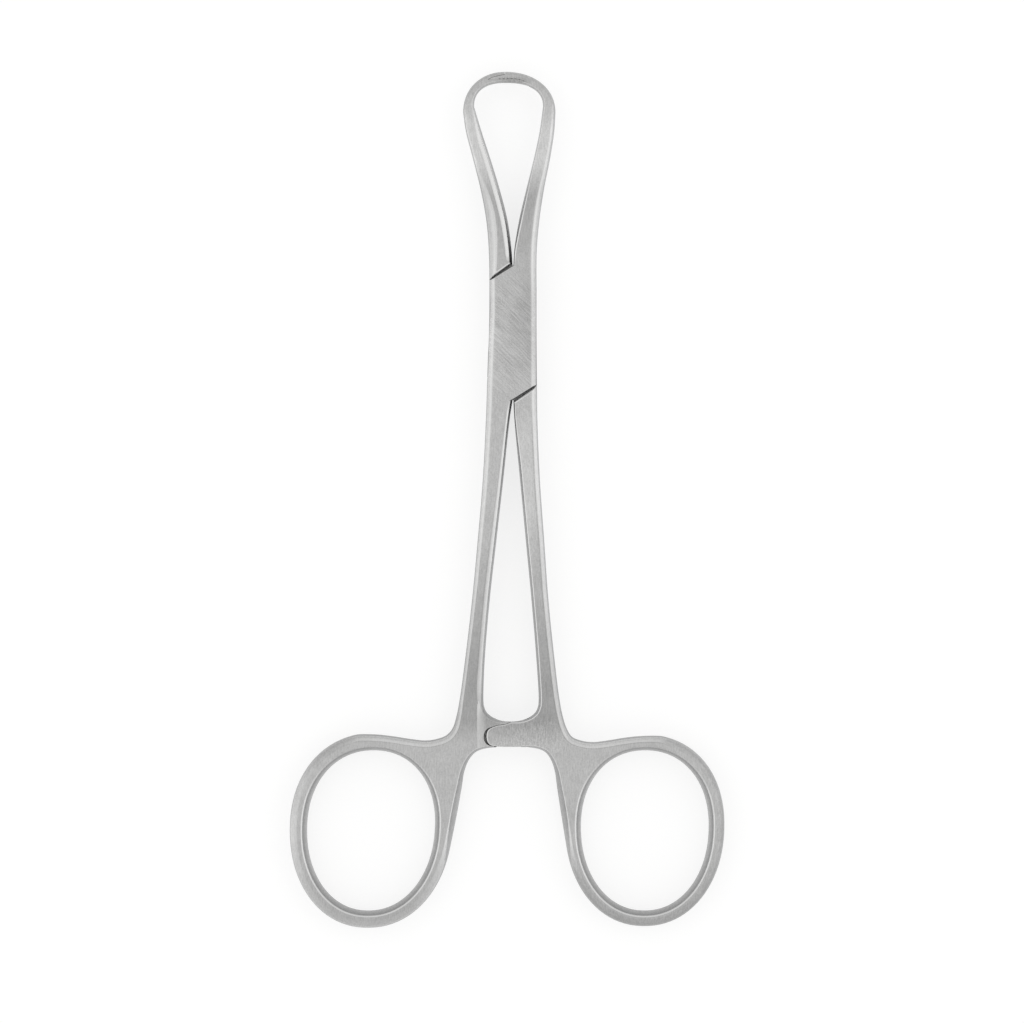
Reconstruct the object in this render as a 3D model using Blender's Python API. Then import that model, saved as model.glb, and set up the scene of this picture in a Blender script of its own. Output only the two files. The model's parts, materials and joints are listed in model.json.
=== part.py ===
# A towel clamp with a box lock, blunt lapped jaws, a two-arm ratchet and two finger rings.
# Sizes are in millimetres, measured from the pin's axis. Plan: +X right, +Y to the jaws.
# Each half is drawn with its jaw on +X and its shank on -X. The male half is the mirror
# image of that drawing, with its own sizes.

import math

import bmesh
import bpy
from mathutils import Vector
from mathutils.geometry import delaunay_2d_cdt

MM = 0.001

# Box lock
LOCK_WIDTH = 7.2
LOCK_THICKNESS = 5.0
CROTCH_REACH = 10.2
SEAM_DROP = 2.3
TENON_WALL_DROP = 3.2
TENON_THICKNESS = 1.8
SLIDE_GAP = 0.1
SEAM_GAP_OUTSIDE = 0.12
SEAM_GAP_INSIDE = 0.6
CROTCH_GAP = 0.12

# Pin
PIN_DIAMETER = 2.5
PIN_GAP = 0.06
PIN_SET_BACK = 0.05

# Jaws: the loop that they close into is widest a little below its crest
JAW_REACH = 39.8
LOOP_DEPTH = 6.2
LIP_BAND = 1.7
INNER_LOOP_RAISE = 0.9
CREST_OFFSET = 1.15
RIGHT_LOOP = 6.47
LEFT_LOOP = 7.6
RIGHT_JAW_WALL = 1.9
LEFT_JAW_WALL = 1.67
JAW_TIP_THICKNESS = 2.2
JAW_MIDDLE_THICKNESS = 3.4
JAW_TAPER = 14.2

# Tip of the right jaw: a tongue between the left jaw's thin prong and its lower lip
UPPER_LIP = 1.1
TONGUE_REACH = 3.8
TONGUE_RISE = 0.36
LOWER_LIP_REACH = 2.4
PRONG_REACH = 1.2
PRONG_THICKNESS = 0.48
TIP_GAP = 0.14
SEAM_FALL = 0.16
SERRATION_PITCH = 0.66
SERRATION_WIDTH = 0.4
SERRATION_DEPTH = 0.14
SERRATIONS = 6

# Shanks and ratchet
SHANK_REACH = 59.1
SHANK_THICKNESS = 3.7
ARM_HEIGHT = 4.0
ARM_GAP = 0.12
NOSE_LENGTH = 0.95
NOSE_HEIGHT = 2.85
LEFT_NOSE_REACH = 4.1
RIGHT_NOSE_REACH = 3.55
NOSE_CLEARANCE = 0.26
RELIEF_CLEARANCE = 0.1
TOOTH_PITCH = 1.3
TOOTH_DEPTH = 0.55
TOOTH_BACK = 0.15
TEETH = 4

# Finger rings
RING_DROP = 16.7
RING_THICKNESS = 3.4
RING_HOLE_WIDTH = 19.45
RING_HOLE_HEIGHT = 24.4
LEFT_RING_SPREAD = 21.65
RIGHT_RING_SPREAD = 20.08
LEFT_RING_BAND = 2.65
RIGHT_RING_BAND = 2.4

# Largest side of a facet and largest turn between two, in plan
FACET_LENGTH = 2.2
FACET_TURN = math.radians(11)

# How an edge is finished: lean of the side wall, then width and height of its bevel
EDGES = {
    "outside": (0.12, 0.75, 0.6),
    "inside_wide": (0.4, 0.6, 0.4),
    "inside_narrow": (0.35, 0.2, 0.2),
    "jaw_outside": (0.1, 0.75, 0.55),
    "tip_outside": (0.1, 0.4, 0.3),
    "tip_inside": (0.2, 0.2, 0.2),
    "ring_outside": (0.15, 0.8, 0.7),
    "ring_inside": (0.6, 0.3, 0.35),
    "arm": (0.05, 0.25, 0.25),
    "cut": (0.0, 0.0, 0.0),
}
BEVEL_ROUNDING = ((0.0, 1.0), (0.42, 0.3), (1.0, 0.0))

# Knots of the jaws and shanks: share of the way, flare beyond the lock's side, inner edge
RIGHT_JAW = (
    (0.11, 0.04, 0.17),
    (0.30, 0.43, 0.94),
    (0.50, 1.13, 2.03),
    (0.70, 2.06, 3.17),
    (0.88, 2.70, 4.06),
)
LEFT_JAW = (
    (0.11, 0.11, 0.12),
    (0.30, 0.49, 0.85),
    (0.50, 1.35, 2.03),
    (0.70, 2.52, 3.45),
    (0.88, 3.60, 4.82),
)
LEFT_SHANK = (
    (0.06, 0.54, 0.50),
    (0.25, 1.02, 1.49),
    (0.44, 1.80, 2.54),
    (0.62, 2.63, 3.53),
    (0.81, 3.71, 4.31),
    (0.93, 4.50, 4.52),
)
RIGHT_SHANK = (
    (0.06, 0.12, 0.20),
    (0.25, 0.51, 1.08),
    (0.44, 1.17, 1.96),
    (0.62, 1.79, 2.80),
    (0.81, 2.74, 3.57),
    (0.93, 3.46, 3.92),
)
# Lock's side beside the shank: share of the way from seam to seam, and flare
LEFT_LOCK_SIDE = ((0.25, -0.03), (0.50, 0.12), (0.78, 0.30))
RIGHT_LOCK_SIDE = ((0.30, 0.0), (0.60, 0.02), (0.85, 0.05))

FEMALE = {
    "mirror": 1,
    "jaw": RIGHT_JAW,
    "loop": RIGHT_LOOP,
    "jaw_wall": RIGHT_JAW_WALL,
    "crest": -CREST_OFFSET,
    "jaw_inside": "inside_narrow",
    "shank_inside": "inside_wide",
    "lock_side": LEFT_LOCK_SIDE,
    "shoulder_drop": SEAM_DROP,
    "shank": LEFT_SHANK,
    "nose_reach": RIGHT_NOSE_REACH,
    "facing_nose": LEFT_NOSE_REACH,
    "ring_spread": LEFT_RING_SPREAD,
    "ring_band": LEFT_RING_BAND,
    "ring_lean": 0.033,
    "far_side": LEFT_LOOP,
}
MALE = {
    "mirror": -1,
    "jaw": LEFT_JAW,
    "loop": LEFT_LOOP,
    "jaw_wall": LEFT_JAW_WALL,
    "crest": CREST_OFFSET,
    "jaw_inside": "inside_wide",
    "shank_inside": "inside_narrow",
    "lock_side": RIGHT_LOCK_SIDE,
    "shoulder_drop": TENON_WALL_DROP,
    "shank": RIGHT_SHANK,
    "nose_reach": LEFT_NOSE_REACH,
    "facing_nose": RIGHT_NOSE_REACH,
    "ring_spread": RIGHT_RING_SPREAD,
    "ring_band": RIGHT_RING_BAND,
    "ring_lean": -0.005,
    "far_side": RIGHT_LOOP,
}

# Fullness of the ovals, where 2 is an ellipse, and how much wider a ring is at its top
LOOP_FULLNESS = 2.12
INNER_LOOP_FULLNESS = 2.35
RING_FULLNESS = 2.13
RING_EGG = 0.04

# Angles in degrees where a jaw's band ends inside the other's, and a ring leaves its oval
FAR_END = 138
RING_START = 100
RING_END = 347

HALF_WIDTH = LOCK_WIDTH / 2
LOOP_LEVEL = JAW_REACH - LOOP_DEPTH
SEAM_RADIUS = JAW_REACH - UPPER_LIP
ARM_LEVEL = SHANK_REACH + ARM_HEIGHT
NOSE_LEVEL = ARM_LEVEL - NOSE_HEIGHT / 2 - 0.22
RING_LEVEL = SHANK_REACH + RING_DROP
CORNER_TURN = 0.35
CORNER_DROP = 0.05
PIN_SIDES = 48


# Curves in plan


def smooth(knots):
    """Points of a smooth curve through the knots, closer where it turns."""
    knots = [Vector(knot) for knot in knots]
    ends = [2 * knots[0] - knots[1], *knots, 2 * knots[-1] - knots[-2]]
    points = []
    for before, start, end, after in zip(ends, ends[1:], ends[2:], ends[3:]):
        span = end - start
        turn = (start - before).angle(span, 0) + span.angle(after - end, 0)
        pieces = max(math.ceil(span.length / FACET_LENGTH), math.ceil(turn / 2 / FACET_TURN))
        times = [0.0]
        for first, second in ((before, start), (start, end), (end, after)):
            times.append(times[-1] + max((second - first).length, 1e-6) ** 0.5)
        t0, t1, t2, t3 = times
        rise = (start - before) / (t1 - t0) - (end - before) / (t2 - t0) + span / (t2 - t1)
        fall = span / (t2 - t1) - (after - start) / (t3 - t1) + (after - end) / (t3 - t2)
        rise *= t2 - t1
        fall *= t2 - t1
        for piece in range(pieces):
            t = piece / pieces
            points.append(
                (2 * t**3 - 3 * t**2 + 1) * start
                + (t**3 - 2 * t**2 + t) * rise
                + (3 * t**2 - 2 * t**3) * end
                + (t**3 - t**2) * fall
            )
    points.append(knots[-1])
    return points


def round_point(centre, half_width, half_height, angle, exponent):
    """A point on an oval a little fuller than an ellipse."""
    across = math.cos(angle)
    up = math.sin(angle)
    x = half_width * math.copysign(abs(across) ** (2 / exponent), across)
    y = half_height * math.copysign(abs(up) ** (2 / exponent), up)
    return Vector((centre[0] + x, centre[1] + y))


def arc(centre, half_width, half_height, start, end, exponent=2.0):
    """Points of an oval's arc between two angles in degrees."""
    pieces = max(3, math.ceil(math.radians(abs(end - start)) / FACET_TURN))
    angles = [math.radians(start + (end - start) * i / pieces) for i in range(pieces + 1)]
    return [round_point(centre, half_width, half_height, a, exponent) for a in angles]


def half_thickness(y):
    """Half of the forging's thickness at a height above the pin."""
    stations = (
        (-RING_LEVEL, RING_THICKNESS / 2),
        (-SHANK_REACH, SHANK_THICKNESS / 2),
        (-CROTCH_REACH, LOCK_THICKNESS / 2),
        (CROTCH_REACH, LOCK_THICKNESS / 2),
        (JAW_REACH - JAW_TAPER, JAW_MIDDLE_THICKNESS / 2),
        (JAW_REACH - LIP_BAND, JAW_TIP_THICKNESS / 2),
    )
    if y <= stations[0][0]:
        return stations[0][1]
    for (low, first), (high, second) in zip(stations, stations[1:]):
        if y <= high:
            return first + (second - first) * (y - low) / (high - low)
    return stations[-1][1]


# Outlines of one half, jaw on +X and shank on -X, counter-clockwise


def jaw_outer_edge(half):
    rise = LOOP_LEVEL - CROTCH_REACH
    side = [(HALF_WIDTH, -CROTCH_REACH + half["shoulder_drop"])]
    side.append((HALF_WIDTH, CROTCH_REACH / 2))
    for share, flare, _ in half["jaw"]:
        side.append((HALF_WIDTH + flare, CROTCH_REACH + share * rise))
    side.append((half["loop"], LOOP_LEVEL))
    crest = half["crest"]
    top = arc((crest, LOOP_LEVEL), half["loop"] - crest, LOOP_DEPTH, 0, 90, LOOP_FULLNESS)
    return smooth(side), top


def jaw_far_end(half):
    """The outer edge past the crest, as far as the cut of the lapped tips needs it."""
    crest = half["crest"]
    width = half["far_side"] + crest
    return arc((crest, LOOP_LEVEL), width, LOOP_DEPTH, 90, FAR_END, LOOP_FULLNESS)


def jaw_inner_edge(half):
    """From the far end of the inner edge, over the loop and down to the crotch."""
    crest = half["crest"]
    level = LOOP_LEVEL + INNER_LOOP_RAISE
    height = JAW_REACH - LIP_BAND - level
    far = half["far_side"] + crest - half["jaw_wall"]
    near = half["loop"] - crest - half["jaw_wall"]
    far_part = arc((crest, level), far, height, FAR_END, 90, INNER_LOOP_FULLNESS)
    near_part = arc((crest, level), near, height, 90, 0, INNER_LOOP_FULLNESS)
    side = [(half["loop"] - half["jaw_wall"], level)]
    rise = LOOP_LEVEL - CROTCH_REACH
    for share, _, inner in reversed(half["jaw"]):
        side.append((inner, CROTCH_REACH + share * rise))
    side.append((CROTCH_GAP / 2, CROTCH_REACH))
    return far_part + near_part[1:], smooth(side)


def shank_outer_edge(half):
    fall = SHANK_REACH - CROTCH_REACH
    top = CROTCH_REACH - half["shoulder_drop"]
    knots = [(-HALF_WIDTH, top)]
    for share, flare in half["lock_side"]:
        knots.append((-HALF_WIDTH - flare, top - share * (top + CROTCH_REACH)))
    for share, flare, _ in half["shank"]:
        knots.append((-HALF_WIDTH - flare, -CROTCH_REACH - share * fall))
    return knots


def ring_oval(half, margin, start, end):
    """Arc around the finger hole, wider towards the top and leaning a little."""
    centre = Vector((-half["ring_spread"], -RING_LEVEL))
    half_width = RING_HOLE_WIDTH / 2 + margin
    half_height = RING_HOLE_HEIGHT / 2 + margin
    points = []
    for offset in arc((0, 0), half_width, half_height, start, end, RING_FULLNESS):
        widening = 1 + RING_EGG * offset.y / half_height
        x = offset.x * widening + half["ring_lean"] * offset.y
        points.append(centre + Vector((x, offset.y)))
    return points


def neck(half):
    """Hollow between the shank and the top of the ring, as shares of the way between."""
    start = -HALF_WIDTH - half["shank"][-1][1]
    ring_top = -RING_LEVEL + RING_HOLE_HEIGHT / 2 + half["ring_band"]
    way = start + half["ring_spread"]
    knots = [(start - 0.5, -SHANK_REACH + 0.8), (start - 1.1, -SHANK_REACH - 1.1)]
    hollow = ((0.15, 0.33), (0.27, 0.95), (0.39, 1.14), (0.56, 0.9), (0.76, 0.48), (0.95, 0.22))
    for share, drop in hollow:
        knots.append((start - share * way, ring_top - drop))
    return knots


def ring_outer_edge(half):
    return ring_oval(half, half["ring_band"], RING_START, RING_END)


def web(half):
    """From the ring's inner flank up to the lower edge of the ratchet arm."""
    inner = -half["shank"][-1][2]
    flank = -half["ring_spread"] + RING_HOLE_WIDTH / 2 + half["ring_band"]
    way = inner - flank
    fall = RING_LEVEL - ARM_LEVEL
    knots = []
    for share, drop in ((0.15, 0.81), (0.30, 0.5), (0.40, 0.28), (0.56, 0.14), (0.78, 0.055)):
        knots.append((flank + share * way, -ARM_LEVEL - drop * fall))
    knots.append((inner + 0.5, -ARM_LEVEL - 0.18))
    knots.append((inner + 3.0, -ARM_LEVEL))
    return knots


def arm_nose(reach, margin, start, end):
    centre = (reach - NOSE_LENGTH, -NOSE_LEVEL)
    return arc(centre, NOSE_LENGTH + margin, NOSE_HEIGHT / 2 + margin, start, end, LOOP_FULLNESS)


def arm_upper_edge(reach, margin):
    """Upper edge of a ratchet arm, from its nose to where it meets the fork between the shanks."""
    knots = ((1.5, 0.66), (3.0, 0.42), (3.7, 0.15))
    return [(reach - back, -SHANK_REACH - drop + margin) for back, drop in knots]


def arm(half):
    """Lower edge, nose and upper edge of the ratchet arm, then the fillet to the shank."""
    inner = -half["shank"][-1][2]
    reach = half["nose_reach"]
    lower = [(inner + 3.0, -ARM_LEVEL), (reach - 2.4, -ARM_LEVEL + 0.05)]
    fillet = [
        (inner + 2.9, -SHANK_REACH),
        (inner + 1.3, -SHANK_REACH + 0.62),
        (inner + 0.4, -SHANK_REACH + 1.45),
        (inner + 0.05, -SHANK_REACH + 2.4),
    ]
    return lower + arm_nose(reach, 0, -75, 75) + arm_upper_edge(reach, 0) + fillet


def shank_inner_edge(half):
    fall = SHANK_REACH - CROTCH_REACH
    knots = []
    for share, _, inner in reversed(half["shank"]):
        knots.append((-inner, -CROTCH_REACH - share * fall))
    knots.append((-CROTCH_GAP / 2, -CROTCH_REACH))
    return knots


def outline(half):
    """Corners' runs of one half: an edge finish and the points that it follows."""
    seam_side = CROTCH_REACH - half["shoulder_drop"]
    outer = smooth(shank_outer_edge(half) + neck(half) + ring_outer_edge(half)[:2])
    ring = ring_outer_edge(half)[1:]
    inner = smooth(ring_outer_edge(half)[-2:] + web(half))
    hook = arm(half)
    shank = smooth(hook[-1:] + shank_inner_edge(half))
    tip_inner, jaw_inner = jaw_inner_edge(half)
    jaw_outer, tip_outer = jaw_outer_edge(half)
    tip_outer += jaw_far_end(half)[1:]
    runs = [
        ("outside", outer),
        ("ring_outside", ring),
        ("inside_narrow", inner[1:]),
        ("arm", smooth(hook)),
        (half["shank_inside"], shank),
        ("cut", [shank[-1], Vector((HALF_WIDTH, -seam_side))]),
        ("jaw_outside", jaw_outer),
        ("tip_outside", tip_outer),
        ("cut", [tip_outer[-1], tip_inner[0]]),
        ("tip_inside", tip_inner),
        (half["jaw_inside"], jaw_inner),
        ("cut", [jaw_inner[-1], Vector((-HALF_WIDTH, seam_side))]),
    ]
    return runs


def ring_hole(half):
    """The finger hole, clockwise, a little egg-shaped."""
    return [("ring_inside", ring_oval(half, 0, 360, 0))]


# Solids from outlines


def merge_runs(runs):
    """One closed loop of points, with the edge finish of each of its sides."""
    points = []
    finishes = []
    for name, run in runs:
        for start, end in zip(run, run[1:]):
            if (end - start).length < 1e-4:
                continue
            points.append(start)
            finishes.append(EDGES[name])
    return points, finishes


def blend_finishes(points, finishes, reach=3.0):
    """Lets one finish run softly into the next, but never into a plain cut."""
    count = len(points)
    blended = []
    for i, finish in enumerate(finishes):
        if finish == EDGES["cut"]:
            blended.append(finish)
            continue
        total = Vector(finish)
        weight = 1.0
        for step in (1, -1):
            travelled = 0.0
            j = i
            while travelled < reach:
                j = (j + step) % count
                travelled += (points[(j + 1) % count] - points[j]).length
                if finishes[j] == EDGES["cut"]:
                    break
                share = max(0.0, 1 - travelled / reach)
                total += Vector(finishes[j]) * share
                weight += share
        blended.append(tuple(total / weight))
    return blended


def inset(points, distances):
    """Moves each side inwards by its own distance, corners to where the moved sides meet."""
    count = len(points)
    moved = []
    for i in range(count):
        before = (points[i] - points[i - 1]).normalized()
        after = (points[(i + 1) % count] - points[i]).normalized()
        n1 = Vector((-before.y, before.x))
        n2 = Vector((-after.y, after.x))
        d1 = distances[i - 1]
        d2 = distances[i]
        turn = n1.x * n2.y - n1.y * n2.x
        if abs(turn) < CORNER_TURN:
            normal = (n1 + n2).normalized()
            moved.append(points[i] + normal * (d1 + d2) / 2 / normal.dot(n2))
        else:
            x = (d1 * n2.y - d2 * n1.y) / turn
            y = (n1.x * d2 - n2.x * d1) / turn
            moved.append(points[i] + Vector((x, y)))
    return moved


def edge_levels(points, finishes):
    """Rings of points from the middle plane up to the flat top, with the edge's form."""
    top = [half_thickness(point.y) for point in points]
    levels = [[Vector((point.x, point.y, 0)) for point in points]]
    drops = [finish[2] for finish in finishes]
    for width_share, drop_share in BEVEL_ROUNDING:
        distances = [lean + width * width_share for lean, width, _ in finishes]
        moved = inset(points, distances)
        ring = []
        for i, point in enumerate(moved):
            drop = (drops[i - 1] + drops[i]) / 2 * drop_share
            if abs(drops[i - 1] - drops[i]) > CORNER_DROP:
                drop = max(drops[i - 1], drops[i]) * drop_share
            ring.append(Vector((point.x, point.y, top[i] - drop)))
        levels.append(ring)
    return levels


def is_inside(point, loop):
    inside = False
    for a, b in zip(loop, loop[1:] + loop[:1]):
        if (a.y > point.y) != (b.y > point.y):
            if point.x < a.x + (point.y - a.y) / (b.y - a.y) * (b.x - a.x):
                inside = not inside
    return inside


def cap_triangles(loops):
    """Triangles of the flat face between an outline and the hole in it."""
    flat = [Vector((p.x, p.y)) for loop in loops for p in loop]
    edges = []
    first = 0
    for loop in loops:
        count = len(loop)
        edges += [(first + i, first + (i + 1) % count) for i in range(count)]
        first += count
    points, _, faces, origins, _, _ = delaunay_2d_cdt(flat, edges, [], 1, 1e-5)
    triangles = []
    for face in faces:
        middle = sum((points[i] for i in face), Vector((0, 0))) / 3
        if is_inside(middle, loops[0]) and not any(is_inside(middle, hole) for hole in loops[1:]):
            triangles.append([origins[i][0] for i in face])
    return triangles


def mesh_object(name, bm, parent):
    bmesh.ops.recalc_face_normals(bm, faces=bm.faces)
    mesh = bpy.data.meshes.new(name)
    bm.to_mesh(mesh)
    bm.free()
    obj = bpy.data.objects.new(name, mesh)
    bpy.context.scene.collection.objects.link(obj)
    obj.parent = parent
    return obj


def forging(name, half, parent):
    """One half as it is before its lock, tip and ratchet are cut."""
    bm = bmesh.new()
    mirror = half["mirror"]
    top_loops = []
    bottom_loops = []
    for runs in (outline(half), ring_hole(half)):
        points, finishes = merge_runs(runs)
        finishes = blend_finishes(points, finishes)
        levels = edge_levels(points, finishes)
        rings = []
        for level in reversed(levels[1:]):
            rings.append([bm.verts.new((p.x * mirror * MM, p.y * MM, -p.z * MM)) for p in level])
        for level in levels:
            rings.append([bm.verts.new((p.x * mirror * MM, p.y * MM, p.z * MM)) for p in level])
        for lower, upper in zip(rings, rings[1:]):
            for i in range(len(points)):
                j = (i + 1) % len(points)
                bm.faces.new((lower[i], lower[j], upper[j], upper[i]))
        bottom_loops.append((rings[0], levels[-1]))
        top_loops.append((rings[-1], levels[-1]))
    triangles = cap_triangles([level for _, level in top_loops])
    for loops in (bottom_loops, top_loops):
        corners = [vert for ring, _ in loops for vert in ring]
        for triangle in triangles:
            bm.faces.new([corners[i] for i in triangle])
    return mesh_object(name, bm, parent)


# Cutters


def prism(name, polygon, low, high, parent, mirror=1):
    """A block with a plan outline, from one height to another."""
    bm = bmesh.new()
    bottom = [bm.verts.new((x * mirror * MM, y * MM, low * MM)) for x, y in polygon]
    face = bm.faces.new(bottom)
    raised = bmesh.ops.extrude_face_region(bm, geom=[face])
    lift = Vector((0, 0, (high - low) * MM))
    verts = [item for item in raised["geom"] if isinstance(item, bmesh.types.BMVert)]
    bmesh.ops.translate(bm, verts=verts, vec=lift)
    return hide_cutter(mesh_object(name, bm, parent))


def hide_cutter(cutter):
    cutter.hide_render = True
    cutter.display_type = "WIRE"
    return cutter


def cylinder(name, diameter, low, high, parent):
    bm = bmesh.new()
    bmesh.ops.create_cone(
        bm,
        cap_ends=True,
        segments=PIN_SIDES,
        radius1=diameter / 2 * MM,
        radius2=diameter / 2 * MM,
        depth=(high - low) * MM,
    )
    bmesh.ops.translate(bm, verts=bm.verts, vec=(0, 0, (high + low) / 2 * MM))
    return mesh_object(name, bm, parent)


def cut(obj, cutter):
    boolean = obj.modifiers.new(cutter.name, "BOOLEAN")
    boolean.operation = "DIFFERENCE"
    boolean.solver = "EXACT"
    boolean.object = cutter


def box_slot(parent):
    """Slot for the tenon, right through the box from side to side."""
    slope = TENON_WALL_DROP / HALF_WIDTH
    wall = CROTCH_REACH + SLIDE_GAP
    side = 2 * HALF_WIDTH
    polygon = (
        (-side, wall + slope * side),
        (-side, -wall + slope * side),
        (side, -wall - slope * side),
        (side, wall - slope * side),
    )
    height = TENON_THICKNESS / 2 + SLIDE_GAP
    return prism("cut_box_slot", polygon, -height, height, parent)


def cheek_recess(name, low, high, parent):
    """Room for one cheek of the box, between the male half's two shoulders."""
    slope = (SEAM_DROP + SEAM_GAP_INSIDE - SEAM_GAP_OUTSIDE) / HALF_WIDTH
    middle = CROTCH_REACH + SEAM_GAP_INSIDE
    side = 2 * HALF_WIDTH
    polygon = (
        (-side, middle - slope * side),
        (0, middle),
        (side, middle),
        (side, -middle + slope * side),
        (0, -middle),
        (-side, -middle),
    )
    return prism(name, polygon, low, high, parent)


def arm_relief(name, half, parent):
    """Room for the other half's arm, which lies over this one's."""
    reach = half["facing_nose"]
    nose = arm_nose(reach, NOSE_CLEARANCE, -100, 75)
    edge = [Vector(knot) for knot in arm_upper_edge(reach, RELIEF_CLEARANCE)]
    far = half["nose_reach"] + NOSE_HEIGHT
    below = -ARM_LEVEL - NOSE_HEIGHT
    above = -SHANK_REACH + NOSE_HEIGHT
    polygon = [(-point.x, point.y) for point in nose + edge]
    polygon += [(-edge[-1].x, above), (far, above), (far, below), (-nose[0].x, below)]
    facing = half["mirror"]
    low = -ARM_GAP / 2 if facing == 1 else -LOCK_THICKNESS
    high = LOCK_THICKNESS if facing == 1 else ARM_GAP / 2
    return prism(name, polygon, low, high, parent, half["mirror"])


def ratchet_teeth(name, half, parent):
    """Saw-tooth notches across the face that looks at the other arm."""
    facing = half["mirror"]
    root = -facing * (ARM_GAP / 2 + TOOTH_DEPTH)
    crest = -facing * ARM_GAP / 2
    clear = facing * ARM_GAP
    start = -facing * TOOTH_PITCH * TEETH / 2
    profile = []
    for tooth in range(TEETH):
        x = start + facing * tooth * TOOTH_PITCH
        profile += [(x, crest), (x + facing * TOOTH_BACK, root)]
    end = start + facing * TEETH * TOOTH_PITCH
    profile += [(end, crest), (end, clear), (start, clear)]
    bm = bmesh.new()
    near = -SHANK_REACH + NOSE_HEIGHT
    far = -ARM_LEVEL - NOSE_HEIGHT
    front = [bm.verts.new((x * MM, near * MM, z * MM)) for x, z in profile]
    back = [bm.verts.new((x * MM, far * MM, z * MM)) for x, z in profile]
    bm.faces.new(front)
    bm.faces.new(back[::-1])
    for i in range(len(profile)):
        j = (i + 1) % len(profile)
        bm.faces.new((front[i], back[i], back[j], front[j]))
    return hide_cutter(mesh_object(name, bm, parent))


def seam_point(x, radius):
    """A point of the tips' seam: an arc about the pin that falls a little to the right."""
    radius -= SEAM_FALL * max(0.0, x) ** 1.5
    return (x, (radius**2 - x**2) ** 0.5)


def tip_seam(offset, notch):
    """The lapped tips' seam from the tongue's end to the lower lip's, with its serrations."""
    radius = SEAM_RADIUS + offset
    points = [seam_point(-TONGUE_REACH, radius)]
    middle = (LOWER_LIP_REACH - TONGUE_REACH) / 2
    for i in range(SERRATIONS):
        x = middle + SERRATION_PITCH * (i - (SERRATIONS - 1) / 2)
        points.append(seam_point(x - SERRATION_WIDTH / 2, radius))
        points.append(seam_point(x, radius + notch))
        points.append(seam_point(x + SERRATION_WIDTH / 2, radius))
    points.append(seam_point(LOWER_LIP_REACH, radius))
    return points


def tongue_back(offset):
    """Upper face of the tongue, which lies under the left jaw's prong."""
    end = seam_point(-TONGUE_REACH, SEAM_RADIUS)
    return [
        (end[0] - offset, end[1] + offset / 2),
        (end[0] * 0.84 - offset / 2, end[1] + TONGUE_RISE + offset),
        (-PRONG_REACH - offset, JAW_REACH - PRONG_THICKNESS + offset),
    ]


def right_tip_cutter(parent):
    """Takes away all of the right jaw's tip but its tongue."""
    far = -LEFT_LOOP
    floor = LOOP_LEVEL + INNER_LOOP_RAISE
    roof = JAW_REACH + LIP_BAND
    seam = tip_seam(0.0, SERRATION_DEPTH)
    back = tongue_back(0.0)
    polygon = [(LOWER_LIP_REACH + TIP_GAP, floor), (far, floor), (far, roof)]
    polygon += [(-PRONG_REACH, roof), *back[:0:-1], *seam[:-1]]
    polygon.append((LOWER_LIP_REACH + TIP_GAP, seam[-1][1]))
    return prism("cut_right_tip", polygon, -LOCK_THICKNESS, LOCK_THICKNESS, parent)


def left_tip_cutter(parent):
    """Takes the tongue's notch out of the left jaw's tip."""
    far = RIGHT_LOOP
    floor = LOOP_LEVEL + INNER_LOOP_RAISE
    roof = JAW_REACH + LIP_BAND
    seam = tip_seam(-TIP_GAP, -SERRATION_DEPTH)
    back = tongue_back(TIP_GAP)
    polygon = [(LOWER_LIP_REACH, floor), (far, floor), (far, roof)]
    polygon += [(-PRONG_REACH - TIP_GAP, roof), *back[::-1], *seam]
    return prism("cut_left_tip", polygon, -LOCK_THICKNESS, LOCK_THICKNESS, parent)


# Materials


def steel(name, colour, roughness):
    material = bpy.data.materials.new(name)
    material.use_nodes = True
    shader = material.node_tree.nodes["Principled BSDF"]
    shader.inputs["Base Color"].default_value = (*colour, 1)
    shader.inputs["Metallic"].default_value = 1.0
    shader.inputs["Roughness"].default_value = roughness
    return material


def finish(obj, material):
    obj.data.materials.append(material)
    obj.data.shade_smooth()
    obj.data.set_sharp_from_angle(angle=math.radians(25))


# Assembly


def pin_location():
    """Where the pin's axis stands, so that the whole clamp is centred on the origin."""
    left = right = low = high = 0.0
    for half in (FEMALE, MALE):
        points, _ = merge_runs(outline(half))
        xs = [point.x * half["mirror"] for point in points]
        ys = [point.y for point in points]
        left = min(left, *xs)
        right = max(right, *xs)
        low = min(low, *ys)
        high = max(high, *ys)
    return (-(left + right) / 2 * MM, -(low + high) / 2 * MM, LOCK_THICKNESS / 2 * MM)


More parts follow.
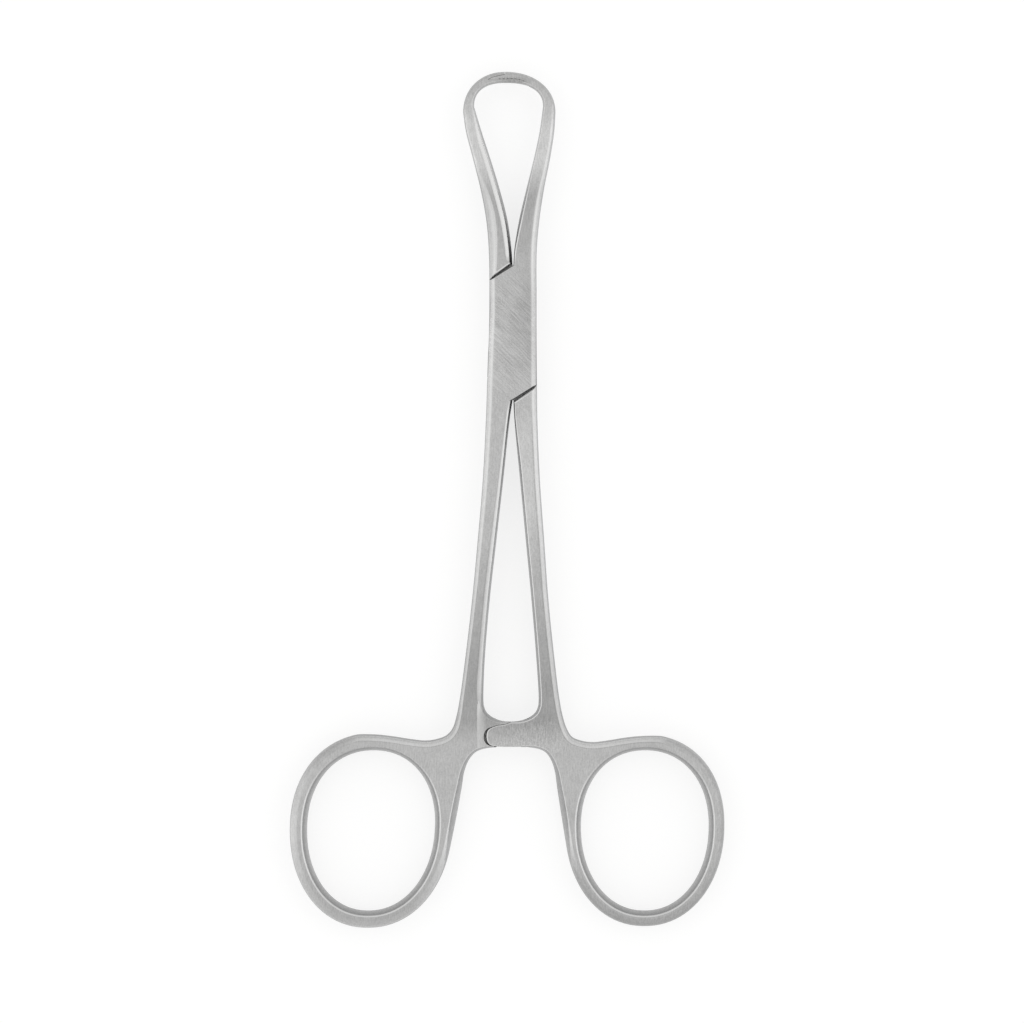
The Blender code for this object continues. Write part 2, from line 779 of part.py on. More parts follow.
def build():
    for obj in list(bpy.data.objects):
        bpy.data.objects.remove(obj, do_unlink=True)
    axis = bpy.data.objects.new("pin_axis", None)
    axis.location = pin_location()
    axis.empty_display_size = 5 * MM
    bpy.context.scene.collection.objects.link(axis)

    top = LOCK_THICKNESS / 2
    bore = PIN_DIAMETER + 2 * PIN_GAP
    pin_bore = hide_cutter(cylinder("cut_pin_bore", bore, -2 * top, 2 * top, axis))

    female = forging("female_half", FEMALE, axis)
    cut(female, box_slot(axis))
    cut(female, pin_bore)
    cut(female, arm_relief("cut_female_arm", FEMALE, axis))
    cut(female, ratchet_teeth("cut_female_teeth", FEMALE, axis))
    cut(female, right_tip_cutter(axis))
    finish(female, steel("satin_steel_female", (0.62, 0.62, 0.60), 0.36))

    male = forging("male_half", MALE, axis)
    cheek = TENON_THICKNESS / 2
    cut(male, cheek_recess("cut_front_recess", cheek, 2 * top, axis))
    cut(male, cheek_recess("cut_rear_recess", -2 * top, -cheek, axis))
    cut(male, pin_bore)
    cut(male, arm_relief("cut_male_arm", MALE, axis))
    cut(male, ratchet_teeth("cut_male_teeth", MALE, axis))
    cut(male, left_tip_cutter(axis))
    finish(male, steel("satin_steel_male", (0.62, 0.62, 0.60), 0.36))

    half_pin = top - PIN_SET_BACK
    pin = cylinder("lock_pin", PIN_DIAMETER, -half_pin, half_pin, axis)
    finish(pin, steel("pin_steel", (0.58, 0.58, 0.57), 0.4))


build()
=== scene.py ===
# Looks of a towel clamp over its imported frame: two forged halves in satin steel, floor, light and camera.
# Plan measures are in millimetres from the lock's pin, +X right and +Y to the jaws.
# Each half is drawn with its jaw on +X and its shank on -X; the male half is mirrored.

import json
import math

import bmesh
import bpy
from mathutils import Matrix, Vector
from mathutils.geometry import delaunay_2d_cdt


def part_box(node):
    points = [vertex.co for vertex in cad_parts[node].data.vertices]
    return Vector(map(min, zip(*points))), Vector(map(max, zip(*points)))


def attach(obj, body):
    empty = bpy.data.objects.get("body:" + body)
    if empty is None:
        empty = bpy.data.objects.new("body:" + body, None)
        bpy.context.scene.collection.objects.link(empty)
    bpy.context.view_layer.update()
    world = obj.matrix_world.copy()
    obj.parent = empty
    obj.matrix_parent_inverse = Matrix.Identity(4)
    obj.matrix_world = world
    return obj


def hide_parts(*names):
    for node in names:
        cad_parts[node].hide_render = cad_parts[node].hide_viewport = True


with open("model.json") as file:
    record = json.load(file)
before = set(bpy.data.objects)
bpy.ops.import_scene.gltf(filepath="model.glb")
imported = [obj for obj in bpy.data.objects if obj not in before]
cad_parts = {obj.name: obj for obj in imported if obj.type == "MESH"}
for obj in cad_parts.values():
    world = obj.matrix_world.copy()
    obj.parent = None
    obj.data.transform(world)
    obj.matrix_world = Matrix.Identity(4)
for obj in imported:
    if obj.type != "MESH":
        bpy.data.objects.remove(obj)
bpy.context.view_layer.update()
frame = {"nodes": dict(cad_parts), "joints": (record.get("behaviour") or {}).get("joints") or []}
print("frame loaded:", ", ".join(sorted(frame["nodes"])))

mm = 0.001
pinAt = Vector(frame["joints"][0]["pos_m"])
femaleLow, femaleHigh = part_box("female_half")
pinLow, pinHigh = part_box("lock_pin")

lock = {
    "thickness": (femaleHigh.z - femaleLow.z) / mm,
    "pinWidth": (pinHigh.x - pinLow.x) / mm,
    "pinLength": (pinHigh.z - pinLow.z) / mm,
    "pinRoom": (0.04, 0.01),  # around the pin, and past its ends
    "halfWidth": 3.6,
    "crotch": 10.2,  # from the pin to where jaws and shanks part
    "seamDrop": 2.3,  # how far a seam slants across half the lock
    "tenonDrop": 3.2,
    "tenon": 1.8,  # thickness of the tongue that slides in the box
    "slide": 0.08,
    "seamGap": (0.18, 0.38),  # at the lock's side and in its middle
    "seamEdge": 0.5,  # ground edge of the shoulders along the seams
    "edgeShape": ((0, -0.8), (0.45, -0.25), (1.6, 0.4)),  # widening and rise, in shares of seamEdge
    "seamPolishAndHighlight": 1.0,
    "crotchGap": 0.12,
}

halfWidth = lock["halfWidth"]
crotch = lock["crotch"]

smoothness = {
    "step": 0.5,
    "turn": math.radians(4),
    "bevelSteps": 7,
    "bevelFullness": 1.55,
    "polishTurn": (4, 6),  # steps of a bevel between which its polish and painted highlight change
    "shortest": 0.02,  # what is shorter is left out of a line
    "straight": 1.6,  # how far sides run straight from the lock's corners
    "blend": 3.5,  # how far two edges grade into each other
    "corner": 0.3,  # sine from which two sides meet in a plain corner
    "jump": 0.05,  # where the drops of two bevels differ by more, the deeper one counts
    "wholeCrown": 0.2,  # drop of a bevel from which its flat has the whole crown
    "sharp": math.radians(28),
}


# Lines in plan


def smoothLine(knots):
    knots = [Vector(knot) for knot in knots]
    ends = [2 * knots[0] - knots[1], *knots, 2 * knots[-1] - knots[-2]]
    points = []
    for before, start, end, after in zip(ends, ends[1:], ends[2:], ends[3:]):
        span = end - start
        turn = (start - before).angle(span, 0) + span.angle(after - end, 0)
        pieces = max(math.ceil(span.length / smoothness["step"]), math.ceil(turn / 2 / smoothness["turn"]))
        times = [0.0]
        for first, second in ((before, start), (start, end), (end, after)):
            times.append(times[-1] + max((second - first).length, 1e-6) ** 0.5)
        t0, t1, t2, t3 = times
        rise = (start - before) / (t1 - t0) - (end - before) / (t2 - t0) + span / (t2 - t1)
        fall = span / (t2 - t1) - (after - start) / (t3 - t1) + (after - end) / (t3 - t2)
        rise *= t2 - t1
        fall *= t2 - t1
        for piece in range(pieces):
            t = piece / pieces
            points.append(
                (2 * t**3 - 3 * t**2 + 1) * start
                + (t**3 - 2 * t**2 + t) * rise
                + (3 * t**2 - 2 * t**3) * end
                + (t**3 - t**2) * fall
            )
    points.append(knots[-1])
    return points


def ovalPoint(centre, width, height, angle, fullness):
    across, up = math.cos(angle), math.sin(angle)
    x = width * math.copysign(abs(across) ** (2 / fullness), across)
    y = height * math.copysign(abs(up) ** (2 / fullness), up)
    return Vector((centre[0] + x, centre[1] + y))


def ovalArc(centre, width, height, start, end, fullness=2.0):
    pieces = max(4, math.ceil(math.radians(abs(end - start)) / smoothness["turn"]))
    angles = [math.radians(start + (end - start) * i / pieces) for i in range(pieces + 1)]
    return [ovalPoint(centre, width, height, angle, fullness) for angle in angles]


jaws = {
    "reach": (femaleHigh.y - pinAt.y) / mm,
    "loopDepth": 6.2,
    "lipBand": 1.7,
    "innerRaise": 0.9,
    "crest": 1.15,
    "fullness": 2.12,
    "innerFullness": 2.35,
    "tipThickness": 2.2,
    "middleThickness": 3.4,
    "taper": 14.2,
    "farEnd": 138,
    "footShares": (1, 0.5, 0.12),  # levels of a jawFoot's flares, 0 at the pin and 1 at the foot
}
loopLevel = jaws["reach"] - jaws["loopDepth"]
tipFloor = loopLevel + jaws["innerRaise"]


def jawOuter(half):
    rise = loopLevel - crotch
    foot = -crotch + half["shoulder"] * (1 + half["jawFoot"][0] / halfWidth)
    side = [(halfWidth + flare, foot * share) for share, flare in zip(jaws["footShares"], half["jawFoot"])]
    side.append((halfWidth, crotch / 2))
    side += [(halfWidth + flare, crotch + share * rise) for share, flare, _ in half["jaw"]]
    side.append((half["loop"], loopLevel))
    crest = half["crest"]
    far = half["farSide"] + crest
    near = half["loop"] - crest
    over = ovalArc((crest, loopLevel), near, jaws["loopDepth"], 0, 90, jaws["fullness"])
    past = ovalArc((crest, loopLevel), far, jaws["loopDepth"], 90, jaws["farEnd"], jaws["fullness"])
    return smoothLine(side), over + past[1:]


def jawInner(half):
    crest = half["crest"]
    height = jaws["reach"] - jaws["lipBand"] - tipFloor
    far = half["farSide"] + crest - half["jawWall"]
    near = half["loop"] - crest - half["jawWall"]
    fullness = jaws["innerFullness"]
    past = ovalArc((crest, tipFloor), far, height, jaws["farEnd"], 90, fullness)
    over = ovalArc((crest, tipFloor), near, height, 90, 0, fullness)
    rise = loopLevel - crotch
    side = [(half["loop"] - half["jawWall"], tipFloor)]
    side += [(inner, crotch + share * rise) for share, _, inner in reversed(half["jaw"])]
    side.append((lock["crotchGap"] / 2, crotch))
    return past + over[1:], smoothLine(side)


shanks = {
    "reach": 59.1,
    "thickness": 3.7,
    "armHeight": 4.0,
    "armGap": 0.12,
    "armFoot": 3.0,  # where an arm's lower side starts, from the shank's inner side
    "underNose": (2.4, 0.05),  # knot back from the nose's end, and above the arm's lower side
    "topLine": ((1.5, 0.66), (3.0, 0.42), (3.7, 0.15)),  # back from the nose's end, and below the reach
    "fillet": ((2.9, 0.0), (1.3, 0.62), (0.4, 1.45), (0.05, 2.4)),  # from the inner side, and above the reach
    "noseLength": 0.95,
    "noseHeight": 2.85,
    "noseDrop": 0.22,
    "noseTurn": 75,  # degrees that the nose's oval runs to each side
    "noseGap": 0.36,
    "relief": 0.01,
    "reliefTurn": 100,
    "creaseStart": 0.95,  # from the inner side
    "creaseWidths": (0.42, 1.5),  # of the bright line, and of all of it
    # rise above the reach, then falls and polish with painted highlight of the bright line and of all of it,
    # which fades outwards
    "crease": (
        (5.6, (0.0, 0.0), (0.8, 0.7)),
        (3.4, (0.1, 0.24), (0.75, 0.65)),
        (0.6, (0.09, 0.14), (0.6, 0.5)),
        (-4.2, (0.05, 0.07), (0.35, 0.3)),
    ),
    "teeth": 4,
    "toothPitch": 1.3,
    "toothDepth": 0.55,
    "toothBack": 0.15,
}
armLevel = shanks["reach"] + shanks["armHeight"]
noseLevel = armLevel - shanks["noseHeight"] / 2 - shanks["noseDrop"]


def shankOuter(half):
    top = crotch - half["shoulder"]
    knots = [(-halfWidth, top)]
    knots += [(-halfWidth - flare, top - share * (top + crotch)) for share, flare in half["lockSide"]]
    fall = shanks["reach"] - crotch
    return knots + [(-halfWidth - flare, -crotch - share * fall) for share, flare, _ in half["shank"]]


rings = {
    "drop": 16.7,
    "thickness": 3.4,
    "hole": (19.45, 24.4),
    "fullness": 2.13,
    "egg": 0.04,
    "leaves": (100, 347),  # degrees where the outside of a ring leaves the neck and meets the web
    "neck": ((0.5, -0.8), (1.1, 1.1)),  # outwards from the shank, and below its reach
    "hollow": ((0.15, 0.33), (0.27, 0.95), (0.39, 1.14), (0.56, 0.9), (0.76, 0.48), (0.95, 0.22)),
    "webLine": ((0.15, 0.81), (0.30, 0.5), (0.40, 0.28), (0.56, 0.14), (0.78, 0.055)),
    "webEnd": (0.5, 0.18),  # from the shank's inner side, and below the arm
}
ringLevel = shanks["reach"] + rings["drop"]


def ringOval(half, margin, start, end):
    centre = Vector((-half["ringSpread"], -ringLevel))
    width = rings["hole"][0] / 2 + margin
    height = rings["hole"][1] / 2 + margin
    points = []
    for offset in ovalArc((0, 0), width, height, start, end, rings["fullness"]):
        widening = 1 + rings["egg"] * offset.y / height
        x = offset.x * widening + half["ringLean"] * offset.y
        points.append(centre + Vector((x, offset.y)))
    return points


def neck(half):
    start = -halfWidth - half["shank"][-1][1]
    ringTop = -ringLevel + rings["hole"][1] / 2 + half["ringBand"]
    way = start + half["ringSpread"]
    knots = [(start - aside, -shanks["reach"] - drop) for aside, drop in rings["neck"]]
    return knots + [(start - share * way, ringTop - drop) for share, drop in rings["hollow"]]


def web(half):
    inner = -half["shank"][-1][2]
    flank = -half["ringSpread"] + rings["hole"][0] / 2 + half["ringBand"]
    way = inner - flank
    fall = ringLevel - armLevel
    knots = [(flank + share * way, -armLevel - drop * fall) for share, drop in rings["webLine"]]
    aside, drop = rings["webEnd"]
    return [*knots, (inner + aside, -armLevel - drop), (inner + shanks["armFoot"], -armLevel)]


def armNose(reach, ahead, aside, start, end):
    width = shanks["noseLength"] + ahead
    height = shanks["noseHeight"] / 2 + aside
    return ovalArc((reach - shanks["noseLength"], -noseLevel), width, height, start, end, jaws["fullness"])


def armTop(reach, margin):
    return [(reach - back, -shanks["reach"] - drop + margin) for back, drop in shanks["topLine"]]


def arm(half):
    inner = -half["shank"][-1][2]
    reach = half["nose"]
    foot = inner + shanks["armFoot"]
    back, rise = shanks["underNose"]
    lower = [(foot, -armLevel), (reach - back, -armLevel + rise)]
    fillet = [(inner + aside, -shanks["reach"] + rise) for aside, rise in shanks["fillet"]]
    nose = armNose(reach, 0, 0, -shanks["noseTurn"], shanks["noseTurn"])
    line = smoothLine(lower + nose + armTop(reach, 0) + fillet)
    front = reach - shanks["noseLength"]
    first = next(i for i, point in enumerate(line) if point.x > front)
    last = next(i for i, point in enumerate(line) if i > first and point.x < front)
    fork = next(i for i, point in enumerate(line) if i > last and point.x < foot)
    return line[: first + 1], line[first : last + 1], line[last : fork + 1], line[fork:]


def outline(half):
    seamSide = crotch - half["shoulder"]
    ringLine = ringOval(half, half["ringBand"], *rings["leaves"])
    outer = smoothLine(shankOuter(half) + neck(half) + ringLine[:2])
    inner = smoothLine(ringLine[-2:] + web(half))
    below, nose, above, fillet = arm(half)
    fall = shanks["reach"] - crotch
    fork = [(-x, -crotch - share * fall) for share, _, x in reversed(half["shank"])]
    shank = smoothLine([fillet[-1], *fork, (-lock["crotchGap"] / 2, -crotch)])
    tipInner, inside = jawInner(half)
    outside, tipOuter = jawOuter(half)
    return [
        ("outer", outer),
        ("ringOutside", ringLine[1:]),
        ("web", inner[1:]),
        ("arm", below),
        ("nose", nose),
        ("armTop", above),
        ("fork", fillet + shank[1:]),
        ("cut", [shank[-1], outside[0]]),
        ("jawOuter", outside),
        ("tipOutside", tipOuter),
        ("cut", [tipOuter[-1], tipInner[0]]),
        ("tipInside", tipInner),
        ("jawInner", inside),
        ("cut", [inside[-1], Vector((-halfWidth, seamSide))]),
    ]


# Solids

# per edge: lean of the wall, width and drop of the bevel, width of the soft shoulder beside the flat;
# then polish with painted highlight (dull with painted shade below 0) of the bevel's steep and shallow part
# and of the shoulder's crease, and how dull and darkened by painted shade the wall is at its top and its foot
edges = {
    "lockSide": (0.14, 0.7, 0.5, 0.3, 0.15, 0.75, 0.15, 0.7, 0.4),
    "boxSide": (0.14, 0.7, 0.5, 0.25, 0.3, 0.5, 0.1, 0.7, 0.4),
    "seamLip": (0.0, 0.16, 0.12, 0.05, -0.2, -0.1, 0.0, 0.9, 0.9),
    "thinSide": (0.14, 0.42, 0.34, 0.12, 0.3, 0.6, -0.1, 0.75, 0.5),
    "broadSide": (0.2, 0.56, 0.45, 0.3, 0.35, 0.48, -0.35, 0.7, 0.45),
    "neckSide": (0.18, 0.75, 0.5, 0.12, 0.0, 0.55, -0.45, 0.9, 0.6),
    "jawSide": (0.14, 1.3, 0.55, 0.28, 0.2, 0.85, 0.15, 0.7, 0.4),
    "jawEdge": (0.14, 0.75, 0.5, 0.35, 0.3, 0.85, 0.25, 0.5, 0.3),
    "seamSide": (0.14, 0.85, 0.5, 0.2, 0.2, 1.0, -0.1, 0.7, 0.4),
    "rimSide": (0.26, 0.36, 0.3, 0.1, 0.0, 0.5, 0.0, 0.6, 0.4),
    "plainSide": (0.16, 0.24, 0.22, 0.1, 0.1, 0.1, 0.0, 0.65, 0.5),
    "wideInside": (0.22, 0.66, 0.42, 0.3, 0.65, 0.38, -0.35, 0.7, 0.45),
    "broadInside": (0.22, 0.88, 0.42, 0.2, 0.5, 0.6, -0.3, 0.8, 0.6),
    "jawInside": (0.3, 0.78, 0.5, 0.15, 0.95, 1.0, -0.2, 0.65, 0.5),
    "narrowInside": (0.3, 0.18, 0.16, 0.1, 0.5, 0.9, 0.0, 0.8, 0.6),
    "darkSlit": (0.28, 0.26, 0.22, 0.1, 0.7, 0.9, 0.0, 1.0, 1.0),
    "tightCrotch": (0.06, 0.2, 0.16, 0.06, 0.6, 0.8, 0.0, 0.9, 0.9),
    "darkCrotch": (0.34, 0.62, 0.4, 0.12, 0.8, 0.9, -0.15, 0.85, 0.85),
    "lowCrotch": (0.24, 0.3, 0.24, 0.1, 0.6, 0.9, 0.0, 0.75, 0.65),
    "fineCrotch": (0.12, 0.12, 0.12, 0.1, 0.8, 1.0, 0.0, 0.55, 0.5),
    "filletSide": (0.3, 0.3, 0.26, 0.15, -0.25, -0.05, -0.15, 0.8, 0.6),
    "tipOutside": (0.14, 0.34, 0.3, 0.08, -0.3, -0.15, 0.0, 0.8, 0.6),
    "tipInside": (0.16, 0.18, 0.16, 0.08, 0.0, 0.3, 0.0, 0.6, 0.4),
    "ringOutside": (0.14, 1.0, 0.7, 0.1, 0.25, 0.25, -0.1, 0.7, 0.4),
    "ringRight": (0.14, 1.0, 0.7, 0.1, -0.45, -0.2, -0.12, 0.7, 0.4),
    "ringFoot": (0.14, 1.0, 0.7, 0.1, 0.0, 0.05, -0.1, 0.7, 0.4),
    "ringInside": (0.7, 0.24, 0.2, 0.1, 0.4, 0.8, 0.0, 1.0, 0.2),
    "ringRoof": (0.5, 0.24, 0.2, 0.14, -0.35, -0.05, -0.1, 1.0, 0.3),
    "flank": (0.85, 0.14, 0.16, 0.1, 0.5, 0.7, 0.0, 0.75, 0.3),
    "flankEnd": (0.45, 0.5, 0.4, 0.1, 0.3, 0.5, 0.0, 0.5, 0.3),
    "web": (0.35, 0.14, 0.14, 0.1, 0.1, 0.4, 0.0, 0.8, 0.5),
    "arm": (0.05, 0.12, 0.12, 0.1, -0.25, -0.1, 0.0, 0.8, 0.7),
    "armTop": (0.0, 0.14, 0.08, 0.14, 0.4, 0.7, 0.2, 0.3, 0.3),
    "nose": (0.05, 0.2, 0.16, 0.1, 0.5, 0.9, 0.0, 0.8, 0.6),
    "cut": (0.0, 0.0, 0.0, 0.0, 0.0, 0.0, 0.0, 0.6, 0.6),
}
crown = 0.025  # how far a flat falls at its soft shoulder


def edgeAt(name, changes, level):
    stations = changes.get(name, ((0, name),))
    if level >= stations[0][0]:
        return edges[stations[0][1]]
    for (high, first), (low, second) in zip(stations, stations[1:]):
        if level >= low:
            share = (high - level) / (high - low)
            return [a + (b - a) * share for a, b in zip(edges[first], edges[second])]
    return edges[stations[-1][1]]


def mergeRuns(runs, changes):
    # the sides run straight from the lock's corners, where their bevels meet the seams
    shortest, straight = smoothness["shortest"], smoothness["straight"]
    corners = [end for name, run in runs if name == "cut" for end in run if abs(end.y) <= crotch]
    points, names, finishes = [], [], []
    for name, run in runs:
        for start, end in zip(run, run[1:]):
            near = any(shortest / 2 < (start - corner).length < straight for corner in corners)
            if (end - start).length > shortest and not near:
                points.append(start)
                names.append(name)
                finishes.append(edgeAt(name, changes, (start.y + end.y) / 2))
    return points, names, finishes


def blendEdges(points, names, finishes):
    reach = smoothness["blend"]
    count = len(points)
    steps = [(points[(i + 1) % count] - points[i]).length for i in range(count)]
    blended = []
    for i, name in enumerate(names):
        total, weight = [value * steps[i] for value in finishes[i]], steps[i]
        for way in (1, -1):
            travelled, j = steps[i] / 2, i
            while name != "cut":
                j = (j + way) % count
                travelled += steps[j]
                if names[j] == "cut" or travelled >= reach:
                    break
                share = steps[j] * (1 - travelled / reach)
                total = [whole + value * share for whole, value in zip(total, finishes[j])]
                weight += share
        blended.append([value / weight for value in total])
    return blended


def inset(points, distances):
    count = len(points)
    moved = []
    for i in range(count):
        before = (points[i] - points[i - 1]).normalized()
        after = (points[(i + 1) % count] - points[i]).normalized()
        n1, n2 = Vector((-before.y, before.x)), Vector((-after.y, after.x))
        d1, d2 = distances[i - 1], distances[i]
        turn = n1.x * n2.y - n1.y * n2.x
        if abs(turn) < smoothness["corner"]:
            normal = (n1 + n2).normalized()
            moved.append(points[i] + normal * (d1 + d2) / 2 / normal.dot(n2))
        else:
            x = (d1 * n2.y - d2 * n1.y) / turn
            y = (n1.x * d2 - n2.x * d1) / turn
            moved.append(points[i] + Vector((x, y)))
    return moved


def halfThickness(y):
    stations = (
        (-ringLevel, rings["thickness"] / 2),
        (-shanks["reach"], shanks["thickness"] / 2),
        (-crotch, lock["thickness"] / 2),
        (crotch, lock["thickness"] / 2),
        (jaws["reach"] - jaws["taper"], jaws["middleThickness"] / 2),
        (jaws["reach"] - jaws["lipBand"], jaws["tipThickness"] / 2),
    )
    if y <= stations[0][0]:
        return stations[0][1]
    for (lowY, first), (highY, second) in zip(stations, stations[1:]):
        if y <= highY:
            return first + (second - first) * (y - lowY) / (highY - lowY)
    return stations[-1][1]


def edgeLevels(points, finishes):
    top = [halfThickness(point.y) for point in points]
    levels = [[Vector((point.x, point.y, 0)) for point in points]]
    power = 2 / smoothness["bevelFullness"]
    profile = []
    for step in range(smoothness["bevelSteps"] + 1):
        angle = math.pi / 2 * step / smoothness["bevelSteps"]
        profile.append((1 - math.cos(angle) ** power, 1 - math.sin(angle) ** power, 0))
    profile.append((1, 0, 1))
    for widthShare, dropShare, shoulder in profile:
        distances = [finish[0] + finish[1] * widthShare + finish[3] * shoulder for finish in finishes]
        moved = inset(points, distances)
        level = []
        for i, point in enumerate(moved):
            drops = (finishes[i - 1][2], finishes[i][2])
            drop = max(drops) if abs(drops[0] - drops[1]) > smoothness["jump"] else sum(drops) / 2
            fall = crown * (1 - shoulder) * min(1, drop / smoothness["wholeCrown"])
            level.append(Vector((point.x, point.y, top[i] - fall - (drop - fall) * dropShare)))
        levels.append(level)
    return levels


def isInside(point, loop):
    inside = False
    for a, b in zip(loop, loop[1:] + loop[:1]):
        if (a.y > point.y) != (b.y > point.y):
            if point.x < a.x + (point.y - a.y) / (b.y - a.y) * (b.x - a.x):
                inside = not inside
    return inside


def capTriangles(loops):
    flat = [Vector((p.x, p.y)) for loop in loops for p in loop]
    sides, first = [], 0
    for loop in loops:
        count = len(loop)
        sides += [(first + i, first + (i + 1) % count) for i in range(count)]
        first += count
    points, _, faces, origins, _, _ = delaunay_2d_cdt(flat, sides, [], 1, 1e-5)
    triangles = []
    for face in faces:
        middle = sum((points[i] for i in face), Vector((0, 0))) / 3
        if isInside(middle, loops[0]) and not isInside(middle, loops[1]):
            triangles.append([origins[i][0] for i in face])
    return triangles


def toFrame(x, y, z, mirror=1):
    return (pinAt.x + x * mirror * mm, pinAt.y + y * mm, pinAt.z + z * mm)


def placeObject(name, data):
    placed = bpy.data.objects.new(name, data)
    bpy.context.scene.collection.objects.link(placed)
    return placed


def meshObject(name, bm):
    bmesh.ops.recalc_face_normals(bm, faces=bm.faces)
    mesh = bpy.data.meshes.new(name)
    bm.to_mesh(mesh)
    bm.free()
    return placeObject(name, mesh)


# polish brightens a bevel's colour as painted highlight; dullness darkens walls and creases as painted shade
def grindAndPaintedLightAt(finish, level, onWall, onShoulder):
    steep, shallow, crease, wallTop, wallFoot = finish[4:]
    if onWall:
        polishAndHighlight = -wallTop if level else -wallFoot
    elif onShoulder:
        polishAndHighlight = 0 if level > smoothness["bevelSteps"] + 1 else crease
    else:
        start, end = smoothness["polishTurn"]
        polishAndHighlight = steep + (shallow - steep) * min(1, max(0, (level - start) / (end - start)))
    return (max(0, polishAndHighlight), max(0, -polishAndHighlight), 0, 1)


def sideFaces(bm, rows):
    # faces between rows of points, each with its row and its two columns
    for r, (first, second) in enumerate(zip(rows, rows[1:])):
        for i in range(len(first)):
            j = (i + 1) % len(first)
            yield r, i, j, bm.faces.new((first[i], first[j], second[j], second[i]))


def forging(name, half):
    # the colour layer "grindAndPaintedLight" holds polish with painted highlight in red and dullness with
    # painted shade in green, for the steel to read
    bm = bmesh.new()
    grindAndPaintedLight = bm.loops.layers.float_color.new("grindAndPaintedLight")
    bottoms, tops, capLoops = [], [], []
    ringHole = [("ringInside", ringOval(half, 0, 360, 0))]
    for runs in (outline(half), ringHole):
        points, names, finishes = mergeRuns(runs, half["changes"])
        finishes = blendEdges(points, names, finishes)
        levels = edgeLevels(points, finishes)
        heights = [*range(1 - len(levels), 0), *range(len(levels))]
        rows = []
        for height in heights:
            side = -1 if height < 0 else 1
            level = levels[abs(height)]
            rows.append([bm.verts.new(toFrame(p.x, p.y, side * p.z, half["mirror"])) for p in level])
        for r, i, j, face in sideFaces(bm, rows):
            below, above = abs(heights[r]), abs(heights[r + 1])
            onWall, onShoulder = min(below, above) == 0, max(below, above) == len(levels) - 1
            corners = ((i, below), (j, below), (j, above), (i, above))
            for loop, (corner, level) in zip(face.loops, corners):
                loop[grindAndPaintedLight] = grindAndPaintedLightAt(finishes[corner], level, onWall, onShoulder)
        bottoms += rows[0]
        tops += rows[-1]
        capLoops.append(levels[-1])
    triangles = capTriangles(capLoops)
    for corners in (bottoms, tops):
        for triangle in triangles:
            face = bm.faces.new([corners[i] for i in triangle])
            for loop in face.loops:
                loop[grindAndPaintedLight] = (0, 0, 0, 1)
    return meshObject(name, bm)


def closedCutter(name, places, ground=()):
    # through rows of places; the ground rows come out polished with a painted highlight, all others milled
    bm = bmesh.new()
    grindAndPaintedLight = bm.loops.layers.float_color.new("grindAndPaintedLight")
    rows = [[bm.verts.new(corner) for corner in row] for row in places]
    plainFaces = [bm.faces.new(rows[0]), bm.faces.new(rows[-1])]
    for r, _, _, face in sideFaces(bm, rows):
        if r in ground:
            for loop in face.loops:
                loop[grindAndPaintedLight] = (lock["seamPolishAndHighlight"], 0, 0, 1)
        else:
            plainFaces.append(face)
    for face in plainFaces:
        face.material_index = 1
    return meshObject(name, bm)


def loft(name, sections, mirror=1, ground=()):
    # a cutter through shapes in plan of equal length, each with its height
    places = [[toFrame(x, y, z, mirror) for x, y in shape] for shape, z in sections]
    return closedCutter(name, places, ground)


def boxSlot():
    slope = lock["tenonDrop"] / halfWidth
    wall = crotch + lock["slide"]
    side = 2 * halfWidth
    corners = ((-side, wall), (-side, -wall), (side, -wall), (side, wall))
    shape = [(x, y - slope * x) for x, y in corners]
    height = lock["tenon"] / 2 + lock["slide"]
    return loft("cutBoxSlot", [(shape, -height), (shape, height)])


def shoulderShape(widening):
    outside, inside = lock["seamGap"]
    slope = (lock["seamDrop"] + inside - outside) / halfWidth
    middle = crotch + inside + widening
    side = 2 * halfWidth
    return [
        (-side, middle - slope * side),
        (0, middle),
        (side, middle),
        (side, -middle + slope * side),
        (0, -middle),
        (-side, -middle),
    ]


def cheekRecess(name, side):
    top, edge = lock["thickness"] / 2, lock["seamEdge"]
    lip = [(shoulderShape(edge * wide), side * (top + edge * rise)) for wide, rise in lock["edgeShape"]]
    foot = (lip[0][0], side * lock["tenon"] / 2)
    clear = (lip[-1][0], side * (top + 1))
    return loft(name, [foot, *lip, clear], ground=(1, 2))


def pinBore():
    around, beyond = lock["pinRoom"]
    width = lock["pinWidth"] / 2 + around
    circle = [tuple(point) for point in ovalArc((0, 0), width, width, 0, 360)[:-1]]
    depth = lock["pinLength"] / 2 + beyond
    return loft("cutPinBore", [(circle, -depth), (circle, depth)])


def armRelief(name, half):
    reach, relief = half["facingNose"], shanks["relief"]
    nose = armNose(reach, shanks["noseGap"], relief, -shanks["reliefTurn"], shanks["noseTurn"])
    top = [Vector(knot) for knot in armTop(reach, relief)]
    far = half["nose"] + shanks["noseHeight"]
    below = -armLevel - shanks["noseHeight"]
    above = -shanks["reach"] + shanks["noseHeight"]
    shape = [(-point.x, point.y) for point in nose + top]
    shape += [(-top[-1].x, above), (far, above), (far, below), (-nose[0].x, below)]
    facing = half["mirror"]
    near = -facing * shanks["armGap"] / 2
    return loft(name, [(shape, near), (shape, facing * lock["thickness"])], facing)


